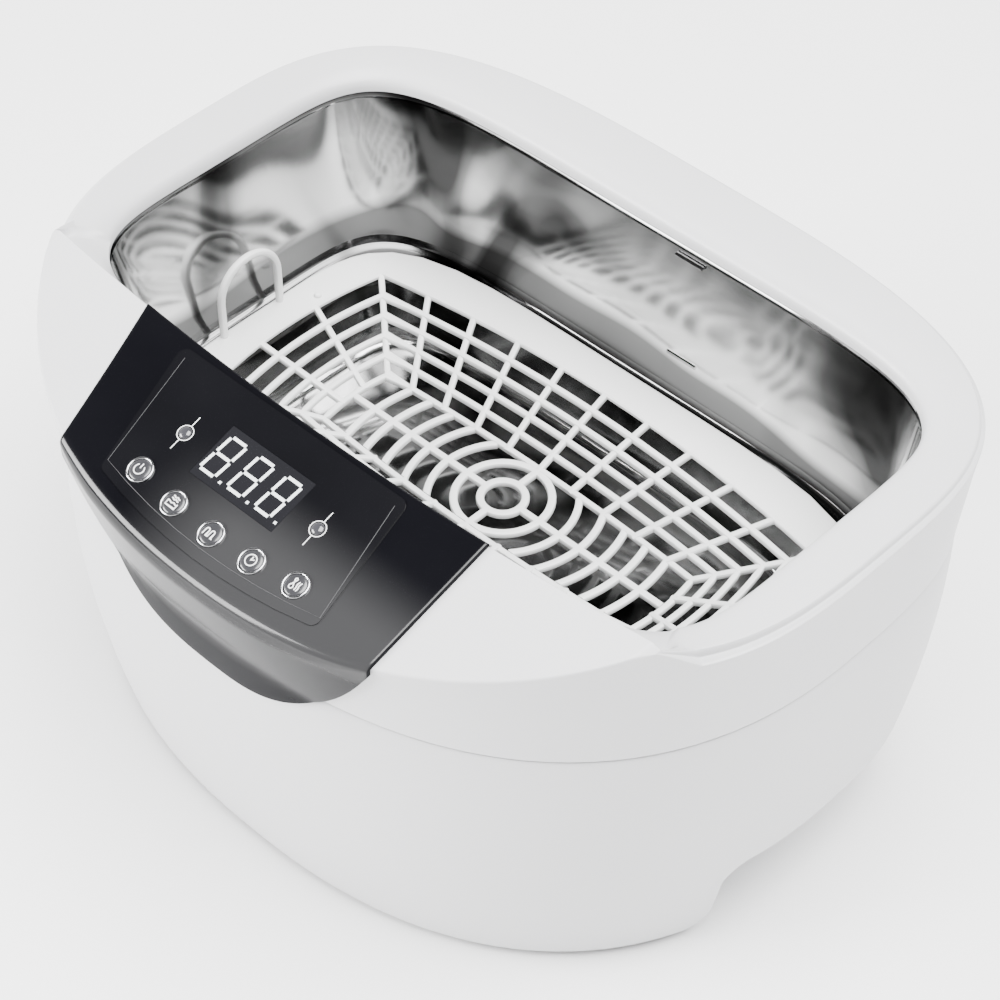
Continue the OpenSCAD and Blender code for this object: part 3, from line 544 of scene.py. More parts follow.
# ---------------------------------------------------------------------------
# Tank
# ---------------------------------------------------------------------------
def tank_shell():
    flange, ledge, floor = TANK_TOP - FLANGE_DROP, TANK_LEDGE, TANK_FLOOR
    # Points of the wall's section as (inset from the tank's outline, height, corner radius)
    inside = [
        (-3, flange, 0), (-1.6, flange, 0.5), (-0.9, flange - 1.2, 0.9), (2.6, TANK_TOP - 24, 0),
        (5.4, ledge + 6.3, 3), (6.7, ledge + 1.6, 1.2), (9.2, ledge, 1.4), (18.6, ledge, 1.5),
        (21.2, ledge - 2.6, 1.5), (24.5, floor + 5, 2.5), (27.5, floor, 3), (34, floor, 0), (60, floor, 0),
    ]
    outside = [
        (60, floor - TANK_WALL), (28, floor - TANK_WALL), (24, floor + 3), (20.4, ledge - 3),
        (18.4, ledge - TANK_WALL), (8.6, ledge - TANK_WALL), (4.6, ledge + 6.3),
        (-1.8, flange - TANK_WALL - 1.2), (-3, flange - TANK_WALL),
    ]

    def section(t):
        line = rounded([(lift(tank_at(inset, t), z), r) for inset, z, r in inside], steps=6)
        return line, [lift(tank_at(inset, t), z) for inset, z in outside]

    insides, outsides = zip(*[section(i * 360 / COLUMNS) for i in range(COLUMNS)])
    rows = list(zip(*outsides)) + list(zip(*insides))
    tank = facing_out(new_object("steel_tank", *grid(rows, closed_columns=True, caps=True), sharp=40))
    return join("steel_tank", [tank] + [level_mark(name, *place) for name, place in LEVEL_MARKS.items()])


def level_mark(name, x0, x1, drop):
    """A short raised bead across the rear wall that marks a filling level."""
    inset = -0.2 + 5.6 * (drop - 2.9) / (TANK_TOP - TANK_LEDGE - 9.2)
    y = TANK_DEPTH_HALF - 0.7 * max(0, inset) - 0.15
    path = [at(mix(x0, x1, i / 12), y, TANK_TOP - drop) for i in range(13)]
    return sweep(name, path, 1.5, 1.3, corner=0.48)


# ---------------------------------------------------------------------------
# Basket
# ---------------------------------------------------------------------------
BASKET_HALF, BASKET_WIDE, BASKET_POWER = 109.5, 60, 4.7
BASKET_UNDER = TANK_LEDGE + 0.2
BASKET_TOP = TANK_LEDGE + 2
BASKET_FLOOR = BASKET_TOP - 12
SLAT = 2.1
# The bowl's outline at its floor and at the rim: half-lengths of the sides' middles, then of the corners
BOWL_FOOT = (67.5, 17, 66, 14.5)
BOWL_HEAD = (97, 46.8, 92.5, 38.2)
FLOOR_RINGS = (7.15, 15.5, 24, 32.3, 40.6, 49, 57.3)
LOOP_HALF, LOOP_HEIGHT, LOOP_SHIFT = 12.3, 28, 6.5


def bowed(a, b, corner_x, corner_y):
    """Four bowed sides between square corners, as a closed list of (x, y)."""
    line, steps = [], 16
    for side in range(4):
        for i in range(steps):
            u = -1 + 2 * i / steps
            if side % 2 == 0:
                x, y = corner_x * u, -mix(b, corner_y, u * u)
            else:
                x, y = mix(a, corner_x, u * u), corner_y * u
            line.append((-x, -y) if side >= 2 else (x, y))
    return line


def basket_line(t):
    """The bowl's outline, from its floor at 0 to the rim at 1."""
    return bowed(*(mix(foot, head, t) for foot, head in zip(BOWL_FOOT, BOWL_HEAD)))


def basket_level(t):
    return mix(BASKET_FLOOR, BASKET_TOP, t) - SLAT / 2


def slat_ring(t):
    path = [at(x, y, basket_level(t)) for x, y in basket_line(t)]
    return sweep("slat", path, SLAT, SLAT, closed=True)


def straight(p, q, width=SLAT):
    path = [p.lerp(q, i / 4) for i in range(5)]
    return sweep("rib", path, width, SLAT)


def basket_rim():
    """The wide flat rim between its rounded outside and its bowed opening."""
    opening = basket_line(1)
    angles = []
    for x, y in opening:
        angles.append(math.degrees(math.atan2(y / BASKET_WIDE, x / BASKET_HALF)))
    columns = []
    z0, z1 = BASKET_UNDER, BASKET_TOP
    for (x, y), turn in zip(opening, angles):
        outer = oval(BASKET_HALF, BASKET_WIDE, BASKET_WIDE, BASKET_POWER, BASKET_POWER, 0, rim_parameter(turn))
        reach = math.hypot(outer[0] - x, outer[1] - y)
        dx, dy = (outer[0] - x) / reach, (outer[1] - y) / reach
        section = []
        for along, z in ((0, z0 + 0.4), (0, z1 - 0.5), (0.5, z1), (reach - 1.2, z1), (reach - 0.3, z1 - 0.4),
                         (reach, z1 - 1.0), (reach, z0 + 0.3), (reach - 0.5, z0), (0.5, z0)):
            section.append(at(x + dx * along, y + dy * along, z))
        columns.append(section)
    return facing_out(new_object("rim", *grid(columns, True, True)))


def rim_parameter(turn):
    """The oval's own angle for a direction from the middle, in degrees."""
    c, s = math.cos(math.radians(turn)), math.sin(math.radians(turn))
    return math.degrees(math.atan2(signed_power(s, BASKET_POWER / 2), signed_power(c, BASKET_POWER / 2)))


def floor_ring(radius, half_width):
    """The parts of a circle that lie inside the floor's narrow outline."""
    z = basket_level(0)
    if radius < half_width:
        turns = [2 * math.pi * i / 48 for i in range(48)]
        path = [at(radius * math.cos(a), radius * math.sin(a), z) for a in turns]
        return [sweep("ring", path, 2.6, SLAT, closed=True)]
    reach = math.degrees(math.asin(half_width / radius))
    arcs = []
    for middle in (0, 180):
        turns = [math.radians(middle - reach + 2 * reach * i / 14) for i in range(15)]
        path = [at(radius * math.cos(a), radius * math.sin(a), z) for a in turns]
        arcs.append(sweep("ring", path, 2.4, SLAT))
    return arcs


def carrying_loop(side):
    """A thin hoop that stands on one end of the rim."""
    x, y0 = side * (BASKET_HALF - 2), side * LOOP_SHIFT
    middle_z = BASKET_TOP - 1.8 + LOOP_HEIGHT - LOOP_HALF
    path = [at(x, y0 - LOOP_HALF, BASKET_TOP), at(x, y0 - LOOP_HALF, BASKET_TOP + 6)]
    for i in range(17):
        turn = math.pi * (1 - i / 16)
        path.append(at(x, y0 + LOOP_HALF * math.cos(turn), middle_z + LOOP_HALF * math.sin(turn)))
    path += [at(x, y0 + LOOP_HALF, BASKET_TOP + 6), at(x, y0 + LOOP_HALF, BASKET_TOP)]
    return sweep("loop", path, 2.5, 2.6, up=Vector((1, 0, 0)), corner=0.45)


def basket_piece():
    """The rim, the bowl's five bars and the ribs that slope from its floor to the rim."""
    z0, z1 = basket_level(0), basket_level(1)
    bars = [basket_rim()] + [slat_ring(k / 5) for k in range(5)]
    for side in (-1, 1):
        for i in range(-4, 5):
            foot_y = mix(BOWL_FOOT[1], BOWL_FOOT[3], (i / 4.8) ** 2) - 0.8
            head_y = mix(BOWL_HEAD[1], BOWL_HEAD[3], (i / 4.9) ** 2) + 1
            bars.append(straight(at(i * 13.7, side * foot_y, z0), at(i * 18.6, side * head_y, z1)))
        for end in (-1, 1):
            bars.append(straight(at(side * 66.6, end * 4.6, z0), at(side * 97.4, end * 12.3, z1)))
            bars.append(straight(at(side * 65.8, end * 14.2, z0), at(side * 93, end * 38.4, z1)))
    pip = lathe("pip", [(1.3, -1), (1.3, 0.5), (1.0, 0.9), (0.5, 1.1), (0, 1.15)],
                lambda x, y, h: at(x - 100, y + 16, BASKET_TOP + h), 24)
    bars.append(pip)
    basket = union([facing_out(b) for b in bars])
    basket.name = "basket_moulding"
    shade(basket, 40)
    return basket


def basket_floor_piece():
    """Concentric rings and the ribs that join them, cut off inside the lowest bar."""
    z = basket_level(0)
    bars = []
    for radius in FLOOR_RINGS:
        bars += floor_ring(radius, 16)
    for side in (-1, 1):
        bars.append(straight(at(side * 7, 0, z), at(side * 68, 0, z), width=2.4))
        bars.append(straight(at(0, side * 7, z), at(0, side * 18, z), width=2.4))
    floor = union([facing_out(b) for b in bars])
    inset = SLAT / 2 + 0.03
    outline = bowed(*(half - inset for half in BOWL_FOOT))
    rows = [[at(x, y, z + h) for x, y in outline] for h in (-3, 3)]
    within = facing_out(new_object("outline", *grid(rows, closed_columns=True, caps=True)))
    combine(floor, within, "INTERSECT")
    floor.name = "basket_floor_moulding"
    shade(floor, 40)
    return floor


def basket_loops_piece():
    return join("basket_carrying_loops", [facing_out(carrying_loop(side)) for side in (-1, 1)])


# ---------------------------------------------------------------------------
# Control panel
# ---------------------------------------------------------------------------
def front_y(x, z):
    a, _, f, _, n = body_outline(z)
    return -f * (1 - (abs(x) / a) ** n) ** (1 / n)


def crease_y(x):
    return front_y(x, CREASE_Z)


def tongue_z(f):
    """The tongue's lower edge; it is deepest right of the middle and squarer on the left."""
    across = (f - TONGUE_MID) / (1 - math.copysign(TONGUE_MID, f - TONGUE_MID))
    return CREASE_Z + 2.6 - TONGUE_DROP * max(0, 1 - abs(across) ** TONGUE_POWERS[across > 0])


def panel_side(f, q):
    """x of column f, from -1 to 1, at row q; the panel narrows and shifts towards its front."""
    return mix(mix(PANEL_REAR[0], PANEL_FRONT[0], q), mix(PANEL_REAR[1], PANEL_FRONT[1], q), (f + 1) / 2)


def panel_base(f, q):
    """The point under the panel at column f across it and row q down it; row 1 is the crease."""
    x = panel_side(f, min(q, 1))
    if q <= 1:
        y = mix(CONSOLE_Y + CONSOLE_BOW * (x / CONSOLE_REACH) ** 2 + 0.4, crease_y(x), q)
        return Vector((x, y, plane_z(y)))
    top = plane_z(crease_y(x))
    z = mix(top, min(top - 0.8, tongue_z(f)), q - 1)
    return Vector((x, front_y(x, z), z))


def panel_point(f, q, h):
    """A point of the panel raised by h; its outer face bends softly over the crease."""
    u = min(1, max(0, (q - FOLD[0]) / (FOLD[1] - FOLD[0])))
    point = panel_base(f, q)
    if 0 < u < 1 and h > PANEL_GAP:
        start, crease, end = panel_base(f, FOLD[0]), panel_base(f, 1), panel_base(f, FOLD[1])
        point = start * (1 - u) ** 2 + crease * (2 * u * (1 - u)) + end * u ** 2
    turn = smooth(u)
    tilt = mix(CONSOLE_TILT, math.radians(96), turn)
    h *= mix(1, 0.92, turn)
    return at(point.x, point.y - h * math.sin(tilt), point.z + h * math.cos(tilt))


def panel_rows():
    slope = [i / 14 for i in range(14)]
    fold = [mix(FOLD[0], FOLD[1], k / 9) for k in range(10)]
    tongue = [1 + k / 14 for k in range(2, 14)] + [1.965, 1.985, 2]
    return slope + fold + tongue


def panel_skin():
    columns = 72
    across = [2 * i / columns - 1 for i in range(columns + 1)]
    rows = panel_rows()
    half_width, slope = 66, 50
    low, high = PANEL_GAP, PANEL_GAP + PANEL_T

    def height(f, q):
        """The panel's top, which rolls down over its last 0.9 mm."""
        margin = min((1 - abs(f)) * half_width, q * slope, (2 - q) * TONGUE_DROP)
        return high - PANEL_EDGE_R * (1 - math.sqrt(max(0, 1 - (1 - min(1, margin / 0.9)) ** 2)))

    across = [-1, -0.996, -0.99, -0.98] + across[2:-2] + [0.98, 0.99, 0.996, 1]
    rows = [0, 0.006, 0.014] + rows[1:]
    top = [[panel_point(f, q, height(f, q)) for f in across] for q in rows]
    under = [[panel_point(f, q, low) for f in across] for q in rows]
    width, count = len(across), len(rows)
    points = [p for row in top + under for p in row]
    shift = width * count
    faces = []
    for i in range(count - 1):
        for j in range(width - 1):
            a, b = i * width + j, (i + 1) * width + j
            faces.append((a, b, b + 1, a + 1))
            faces.append((a + shift, a + 1 + shift, b + 1 + shift, b + shift))
    border = [j for j in range(width - 1)]
    border += [i * width + width - 1 for i in range(count - 1)]
    border += [(count - 1) * width + j for j in range(width - 1, 0, -1)]
    border += [i * width for i in range(count - 1, 0, -1)]
    for k, a in enumerate(border):
        b = border[(k + 1) % len(border)]
        faces.append((a, b, b + shift, a + shift))
    return facing_out(new_object("panel_skin", points, faces))


def console_lathe(name, profile, x, s):
    """Turns a profile about an axis that stands on the console at x and s."""
    return facing_out(lathe(name, profile, lambda u, v, h: on_console(x + u, s + v, h)))


def console_cylinder(name, x, s, radius, low, high):
    return console_lathe(name, [(radius, low), (radius, high)], x, s)


def panel_piece():
    panel = panel_skin()
    display = (DISPLAY_S - DISPLAY_H / 2, DISPLAY_S + DISPLAY_H / 2)
    combine(panel, console_block("cut", DISPLAY_W / 2, display, (-6, 6)), "DIFFERENCE")
    holes = [(x, s, RING_R + HOLE_GAP) for x, s in button_places()]
    holes += [(x, LAMP_S, LAMP_R + HOLE_GAP) for x in lamp_places()]
    for x, s, radius in holes:
        combine(panel, console_cylinder("cut", x, s, radius, -5, 5), "DIFFERENCE")
    shade(panel, 40)
    return panel


def lamp_places():
    return [side * LAMP_X + lean(LAMP_S) for side in (-1, 1)]


def stroke(points, width, x, s, h, closed=False):
    """A thin raised line on the console through points given relative to (x, s)."""
    normal = on_console(0, 0, 1) - on_console(0, 0, 0)
    path = [on_console(x + u, s - v, h) for u, v in points]
    return facing_out(sweep("stroke", path, width, 0.12, closed=closed, up=normal.normalized(), corner=0.25))


def arc(cx, cy, radius, start, end, steps=20):
    turns = [math.radians(mix(start, end, i / steps)) for i in range(steps + 1)]
    return [(cx + radius * math.cos(a), cy + radius * math.sin(a)) for a in turns]


def circle(cx, cy, radius):
    return arc(cx, cy, radius, 0, 360, 28)[:-1]


def wave(x0, x1, y, height, turns):
    shares = [i / 36 for i in range(37)]
    return [(mix(x0, x1, u), y + height * math.sin(2 * math.pi * turns * u)) for u in shares]


# Each symbol is a list of (points, closed) strokes round its button's middle, x across and y up
def power_symbol():
    return [(arc(0, -0.1, 1.35, 130, 410), False), ([(0, 0.2), (0, 1.6)], False)]


def bath_symbol():
    tub = [(-1.5, 0.1), (-1.5, -1.3), (1.5, -1.3), (1.5, 0.1)]
    steam = [(wave(-1.1, 1.1, 0.75 + 0.65 * k, 0.16, 2), False) for k in range(2)]
    return [(tub, False), (wave(-1.4, 1.4, -0.2, 0.14, 2), False)] + steam


def pulse_symbol():
    humps = arc(-1.05, 0.3, 0.5, 180, 0, 10) + [(-0.5, -1.2), (0.05, -1.2)] + arc(0.6, 0.3, 0.5, 180, 0, 10)
    return [([(-1.6, -1.2)] + humps + [(1.1, -1.2), (1.6, -1.2)], False)]


def clock_symbol():
    return [(circle(0, 0, 1.45), True), ([(0, 1.0), (0, 0), (0.75, 0.45)], False)]


def thermometer_symbol():
    bulb = arc(-0.5, -0.9, 0.55, 125, 415, 16)
    stem = arc(-0.5, 1.1, 0.32, 0, 180, 8)
    rises = [0.2 * i for i in range(13)]
    heat = [([(x + 0.12 * math.sin(3 * v), -1.3 + v) for v in rises], False) for x in (0.7, 1.3)]
    return [(bulb + stem[::-1], True)] + heat


SYMBOLS = {
    "power_button": power_symbol,
    "ultrasonic_button": bath_symbol,
    "degas_button": pulse_symbol,
    "timer_button": clock_symbol,
    "temperature_button": thermometer_symbol,
}


def cap_profile():
    """A stem on the switch, a flange that keeps the cap in, and a low dome."""
    turns = [math.radians(10 * k) for k in range(1, 10)]
    dome = [(CAP_R * math.cos(a), CAP_TOP + 0.55 * math.sin(a)) for a in turns]
    stem = [(0, -5.6), (1.4, -5.6), (1.4, -2.2), (4.1, -2.2), (4.1, -1.4)]
    return stem + [(CAP_R, -1.2), (CAP_R, CAP_TOP)] + dome


def ring_profile():
    middle, half = (RING_R + RING_BORE) / 2, (RING_R - RING_BORE) / 2
    turns = [math.radians(15 * k) for k in range(13)]
    lip = [(middle + half * math.cos(a), 2.2 + 0.3 * math.sin(a)) for a in turns]
    return [(RING_R, -0.4)] + lip + [(RING_BORE, -0.4)]


def button_piece(node, x, s):
    return console_lathe(node + "_cap", cap_profile(), x, s)


def symbol_piece(node, x, s):
    strokes = [stroke([(1.2 * u, 1.2 * v) for u, v in points], 0.36, x, s, 2.68, closed)
               for points, closed in SYMBOLS[node]()]
    return join(node + "_symbol", strokes)


def ring_piece():
    rings = []
    turns = [2 * math.pi * j / 72 for j in range(72)]
    for x, s in button_places():
        rows = []
        for radius, height in ring_profile():
            rows.append([on_console(x + radius * math.cos(a), s + radius * math.sin(a), height) for a in turns])
        rings.append(facing_out(new_object("bezel", *grid(rows, True, True))))
    return join("button_bezels", rings)


def lamp_piece(node, x):
    turns = [math.radians(10 * k) for k in range(10)]
    dome = [(LAMP_R * math.cos(a), FILM_TOP + 0.9 * math.sin(a)) for a in turns]
    profile = [(0, -7.9), (1.5, -7.9), (1.5, -1), (LAMP_R, -1)] + dome
    return console_lathe(node + "_lens", profile, x, LAMP_S)


def digit_piece():
    """Three slanted figures of seven segments, each with its point."""
    pitch, slant, half, tall = 11.3, 0.09, 3.1, 6.3
    strokes = []
    for k in range(3):
        cx = (k - 1) * pitch - 0.6
        for y0, y1 in ((0.5, tall - 0.5), (0.5 - tall, -0.5)):
            for x in (-half, half):
                strokes.append(([(cx + x + slant * y0, y0), (cx + x + slant * y1, y1)], 1.0))
        for y in (-tall, 0, tall):
            strokes.append(([(cx + x + slant * y, y) for x in (0.5 - half, half - 0.5)], 1.0))
        strokes.append(([(cx + 4.7, -6.5), (cx + 5.6, -6.5)], 0.9))
    return join("display_digits", [stroke(points, width, 0, DISPLAY_S, DIGIT_H) for points, width in strokes])


def lamp_stems():
    """Thin printed lines that lead from each lamp to where its two meanings would stand."""
    made = []
    for x in lamp_places():
        for start, end in ((2.6, 6.2), (-2.6, -6.2)):
            made.append(stroke([(0, start), (0, mix(start, end, 0.5)), (0, end)], 0.3, x, LAMP_S, PRINT_H))
        made.append(stroke(circle(0, 0, 2.5), 0.28, x, LAMP_S, PRINT_H, True))
    return join("lamp_stems", made)


def film_edge_highlight():
    """A painted highlight: a paler grey line along the film's edge round the display and the buttons."""
    shares = [1 - k / 4 for k in range(9)]
    path = [(FILM_HALF + lean(FILM_REAR_S), -FILM_REAR_S)]
    path += [(u * (FILM_HALF + 0.6) + lean(FILM_FRONT_S), 4.5 * u * u - FILM_FRONT_S - 1.6) for u in shares]
    path += [(-FILM_HALF + lean(FILM_REAR_S), -FILM_REAR_S)]
    line = stroke(path, 0.18, 0, 0, PRINT_H)
    line.name = "film_edge_highlight"
    return line


# ---------------------------------------------------------------------------
# Materials
# ---------------------------------------------------------------------------
# Depths and heights in metres, as the object coordinates are
GRAIN_DEPTH = 0.0002
STEEL_WAVE = 0.012
# The steel's painted dark reflection bands: how far they sway, the heights they span and their ramp
REFLECTION_BAND_SWAY = 0.035
REFLECTION_BAND_HEIGHTS = (0.0925, 0.1525)
STEEL_REFLECTION_BANDS = ((0.01, 0.5), (0.05, 0.05), (0.26, 0.05), (0.34, 0.8), (0.66, 0.85), (0.8, 0.42), (0.99, 0.12))
STEEL_CLOUDS = ((0.36, 0.05), (0.44, 0.2), (0.54, 0.75), (0.66, 0.95))
# A paler grey painted on the black panel as a reflection
PAINTED_REFLECTION_GREY = (0.03, 0.03, 0.031)
METAL = {"metallic": 1.0}


def feed(tree, socket, value):
    """Sets a socket to a constant, or links it to another node's output."""
    if isinstance(value, bpy.types.NodeSocket):
        tree.links.new(value, socket)
    else:
        socket.default_value = value


def make_node(tree, kind, output, inputs, **settings):
    """Adds a shader node and returns one of its outputs; inputs are given by socket name."""
    made = tree.nodes.new("ShaderNode" + kind)
    for key, value in settings.items():
        setattr(made, key, value)
    for key, value in inputs.items():
        feed(tree, made.inputs[key], value)
    return made.outputs[output]


def stretched_place(tree, stretch):
    place = make_node(tree, "TexCoord", "Object", {})
    return make_node(tree, "Mapping", "Vector", {"Vector": place, "Scale": stretch})


def noise(tree, place, scale, detail, distortion=0.0):
    return make_node(tree, "TexNoise", "Fac",
                     {"Vector": place, "Scale": scale, "Detail": detail, "Distortion": distortion})


def color_ramp(tree, source, stops):
    """A ramp through (position, colour) stops, where a colour may be one grey value."""
    made = tree.nodes.new("ShaderNodeValToRGB")
    elements = made.color_ramp.elements
    elements.remove(elements[0])
    for k, (position, color) in enumerate(stops):
        element = elements.new(position) if k else elements[0]
        element.position = position
        element.color = (*color, 1) if isinstance(color, tuple) else (color, color, color, 1)
    tree.links.new(source, made.inputs["Fac"])
    return made.outputs["Color"]


def map_range(tree, source, start, end, low, high, interpolation="LINEAR"):
    inputs = {"Value": source, "From Min": start, "From Max": end, "To Min": low, "To Max": high}
    return make_node(tree, "MapRange", "Result", inputs, interpolation_type=interpolation)


def blended(tree, kind, a, b, factor):
    inputs = {"A": a, "B": b, "Factor": factor}
    return make_node(tree, "Mix", "Result", inputs, data_type="RGBA", blend_type=kind)


def surface(name, color, roughness, metallic=0.0, coat=0.0, grain=900, bump=0.05, vary=0.03, blotch=18,
            stretch=(1, 1, 1), rough_vary=0.06, painted_glow=0.0, shine=0.5):
    """A procedural finish: fine grain as bump, and slow changes of colour and roughness."""
    material = bpy.data.materials.new(name)
    material.use_nodes = True
    tree = material.node_tree
    place = stretched_place(tree, stretch)
    slow = noise(tree, place, blotch, 3)
    bumps = {"Height": noise(tree, place, grain, 2), "Strength": bump, "Distance": GRAIN_DEPTH}
    rough = (max(0, roughness - rough_vary), min(1, roughness + rough_vary))
    dark = tuple(max(0, c * (1 - vary)) for c in color)
    light = tuple(min(1, c * (1 + vary)) for c in color)
    inputs = {
        "Base Color": color_ramp(tree, slow, ((0.3, dark), (0.7, light))),
        "Roughness": map_range(tree, slow, 0, 1, *rough),
        "Normal": make_node(tree, "Bump", "Normal", bumps),
        "Metallic": metallic,
        "Specular IOR Level": shine,
        "Coat Weight": coat,
        "Coat Roughness": 0.06,
    }
    # Painted glow: emission on a part that is no lamp
    if painted_glow:
        inputs.update({"Emission Color": (*color, 1), "Emission Strength": painted_glow})
    for key, value in inputs.items():
        feed(tree, tree.nodes["Principled BSDF"].inputs[key], value)
    return material


def dark_gloss(name, color, roughness, shine):
    """A dark glossy finish whose colour pales towards the console's front edge as a painted reflection, and
    which gleams less below it.

    The painted reflection fades out towards the left and below the crease.
    """
    material = surface(name, color, roughness, bump=0.0, vary=0.2, shine=shine)
    tree = material.node_tree
    shader = tree.nodes["Principled BSDF"].inputs
    place = tree.nodes.new("ShaderNodeSeparateXYZ")
    feed(tree, place.inputs["Vector"], make_node(tree, "TexCoord", "Object", {}))

    def along(axis, start, end, low=0, high=1):
        return map_range(tree, place.outputs[axis], start, end, low, high, "SMOOTHSTEP")

    def times(a, b):
        return make_node(tree, "Math", "Value", {0: a, 1: b}, operation="MULTIPLY")

    # Painted reflection: the colour turns paler towards the front, towards the right and above the crease
    share = times(along("Y", -0.072, -0.094), along("X", -0.034, 0.006))
    share = times(share, along("Z", 0.122, 0.13, low=0.1))
    own_color = shader["Base Color"].links[0].from_socket
    feed(tree, shader["Base Color"], blended(tree, "MIX", own_color, (*PAINTED_REFLECTION_GREY, 1), share))
    feed(tree, shader["Specular IOR Level"], along("Z", 0.125, 0.1305, low=0.05, high=shine))
    return material


def drawn_steel(name):
    """Mirror steel that waves a little, as deep-drawn sheet does.

    Its burnish is cloudy, and its colour is darker in a band under the flange and in another above the ledge,
    as painted dark reflections.
    The bands sway up and down with a slow noise.
    """
    material = surface(name, (0.62, 0.62, 0.63), 0.12, 1.0, bump=0.04, grain=260, blotch=9,
                       stretch=(1, 1, 0.25), rough_vary=0.05)
    tree = material.node_tree
    shader = tree.nodes["Principled BSDF"].inputs
    place = stretched_place(tree, (1, 1, 0.55))
    waves = {"Height": noise(tree, place, 12, 0.6, 0.6), "Strength": 1.0, "Distance": STEEL_WAVE}
    grain = shader["Normal"].links[0].from_node
    feed(tree, grain.inputs["Normal"], make_node(tree, "Bump", "Normal", waves))
    height = make_node(tree, "SeparateXYZ", "Z", {"Vector": make_node(tree, "TexCoord", "Object", {})})
    sway = make_node(tree, "Math", "Value", {0: noise(tree, place, 9, 1.0, 1.0), 1: REFLECTION_BAND_SWAY, 2: height},
                     operation="MULTIPLY_ADD")
    # Painted reflection: dark bands of colour at set heights of the wall
    painted_reflection_bands = color_ramp(tree, map_range(tree, sway, *REFLECTION_BAND_HEIGHTS, 0, 1), STEEL_REFLECTION_BANDS)
    clouds = color_ramp(tree, noise(tree, place, 14, 1.6, 1.4), STEEL_CLOUDS)
    feed(tree, shader["Base Color"], blended(tree, "MULTIPLY", clouds, painted_reflection_bands, 0.9))
    return material


# Each finish: its colour, its roughness and what differs from surface()'s own values
FINISHES = {
    "white_abs": ((0.6, 0.6, 0.61), 0.4, dict(coat=0.1, grain=1500, bump=0.06, vary=0.012)),
    "dark_plastic": ((0.05, 0.05, 0.055), 0.55, dict(bump=0.25, grain=1100)),
    "foot_rubber": ((0.03, 0.03, 0.03), 0.8, dict(bump=0.3, grain=1400)),
    "seal_rubber": ((0.02, 0.02, 0.02), 0.7, dict(bump=0.2)),
    "screw_steel": ((0.6, 0.6, 0.62), 0.3, dict(METAL, bump=0.15, stretch=(1, 1, 6))),
    "bracket_steel": ((0.62, 0.62, 0.63), 0.35, dict(METAL, bump=0.15)),
    "basket_plastic": ((0.74, 0.745, 0.74), 0.42, dict(bump=0.08, vary=0.02)),
    "window_tint": ((0.012, 0.012, 0.014), 0.1, dict(coat=0.8, bump=0.0, vary=0.2)),
    "lamp_lens": ((0.04, 0.04, 0.045), 0.15, dict(coat=0.8, bump=0.02)),
    "button_black": ((0.03, 0.03, 0.033), 0.25, dict(coat=0.6, bump=0.02)),
    "ring_chrome": ((0.75, 0.75, 0.77), 0.14, dict(METAL, bump=0.03)),
    "display_body": ((0.02, 0.02, 0.02), 0.5, dict(bump=0.1)),
    "circuit_board": ((0.02, 0.16, 0.07), 0.35, dict(coat=0.3, bump=0.2, grain=500, vary=0.2)),
    "switch_body": ((0.02, 0.02, 0.02), 0.45, dict(bump=0.15)),
    "horn_aluminium": ((0.72, 0.73, 0.74), 0.28, dict(METAL, bump=0.2, stretch=(1, 1, 9))),
    "piezo_ceramic": ((0.5, 0.46, 0.38), 0.6, dict(bump=0.25, vary=0.08)),
    "contact_brass": ((0.75, 0.55, 0.25), 0.25, dict(METAL, bump=0.1, vary=0.06)),
    "mass_steel": ((0.4, 0.4, 0.41), 0.35, dict(METAL, bump=0.2, stretch=(1, 1, 9))),
    "heater_silicone": ((0.55, 0.16, 0.05), 0.65, dict(bump=0.4, grain=700, vary=0.08)),
    "sensor_body": ((0.78, 0.77, 0.72), 0.3, dict(bump=0.08)),
    "transformer_body": ((0.4, 0.28, 0.06), 0.5, dict(bump=0.3, vary=0.1)),
    "capacitor_sleeve": ((0.02, 0.04, 0.16), 0.25, dict(coat=0.4, bump=0.05)),
    "relay_case": ((0.03, 0.1, 0.35), 0.3, dict(bump=0.06)),
    "inlet_plastic": ((0.025, 0.025, 0.026), 0.5, dict(bump=0.25, grain=1100)),
    "wire_sleeve": ((0.4, 0.02, 0.02), 0.5, dict(bump=0.1)),
    # These four belong to no slot of the record: the prints, the figures, a painted highlight line round the
    # film and the panel's narrow sides. The prints and the figures get a faint painted glow, though they are no
    # lamps.
    "printed_white": ((0.8, 0.8, 0.8), 0.4, dict(bump=0.03, painted_glow=0.12)),
    # A paler grey for the painted highlight along the film's edge
    "painted_highlight_grey": ((0.04, 0.04, 0.042), 0.4, dict(bump=0.03)),
    "display_segments": ((0.75, 0.78, 0.78), 0.35, dict(bump=0.03, painted_glow=0.25)),
    "panel_edge": ((0.006, 0.006, 0.007), 0.7, dict(bump=0.1, shine=0.1)),
}


def make_materials():
    made = {}
    for name, (color, roughness, rest) in FINISHES.items():
        made[name] = surface(name, color, roughness, **rest)
    made["polished_steel"] = drawn_steel("polished_steel")
    made["panel_gloss"] = dark_gloss("panel_gloss", (0.003, 0.003, 0.004), 0.14, shine=0.3)
    made["panel_film"] = dark_gloss("panel_film", (0.004, 0.004, 0.005), 0.2, shine=0.34)
    return made


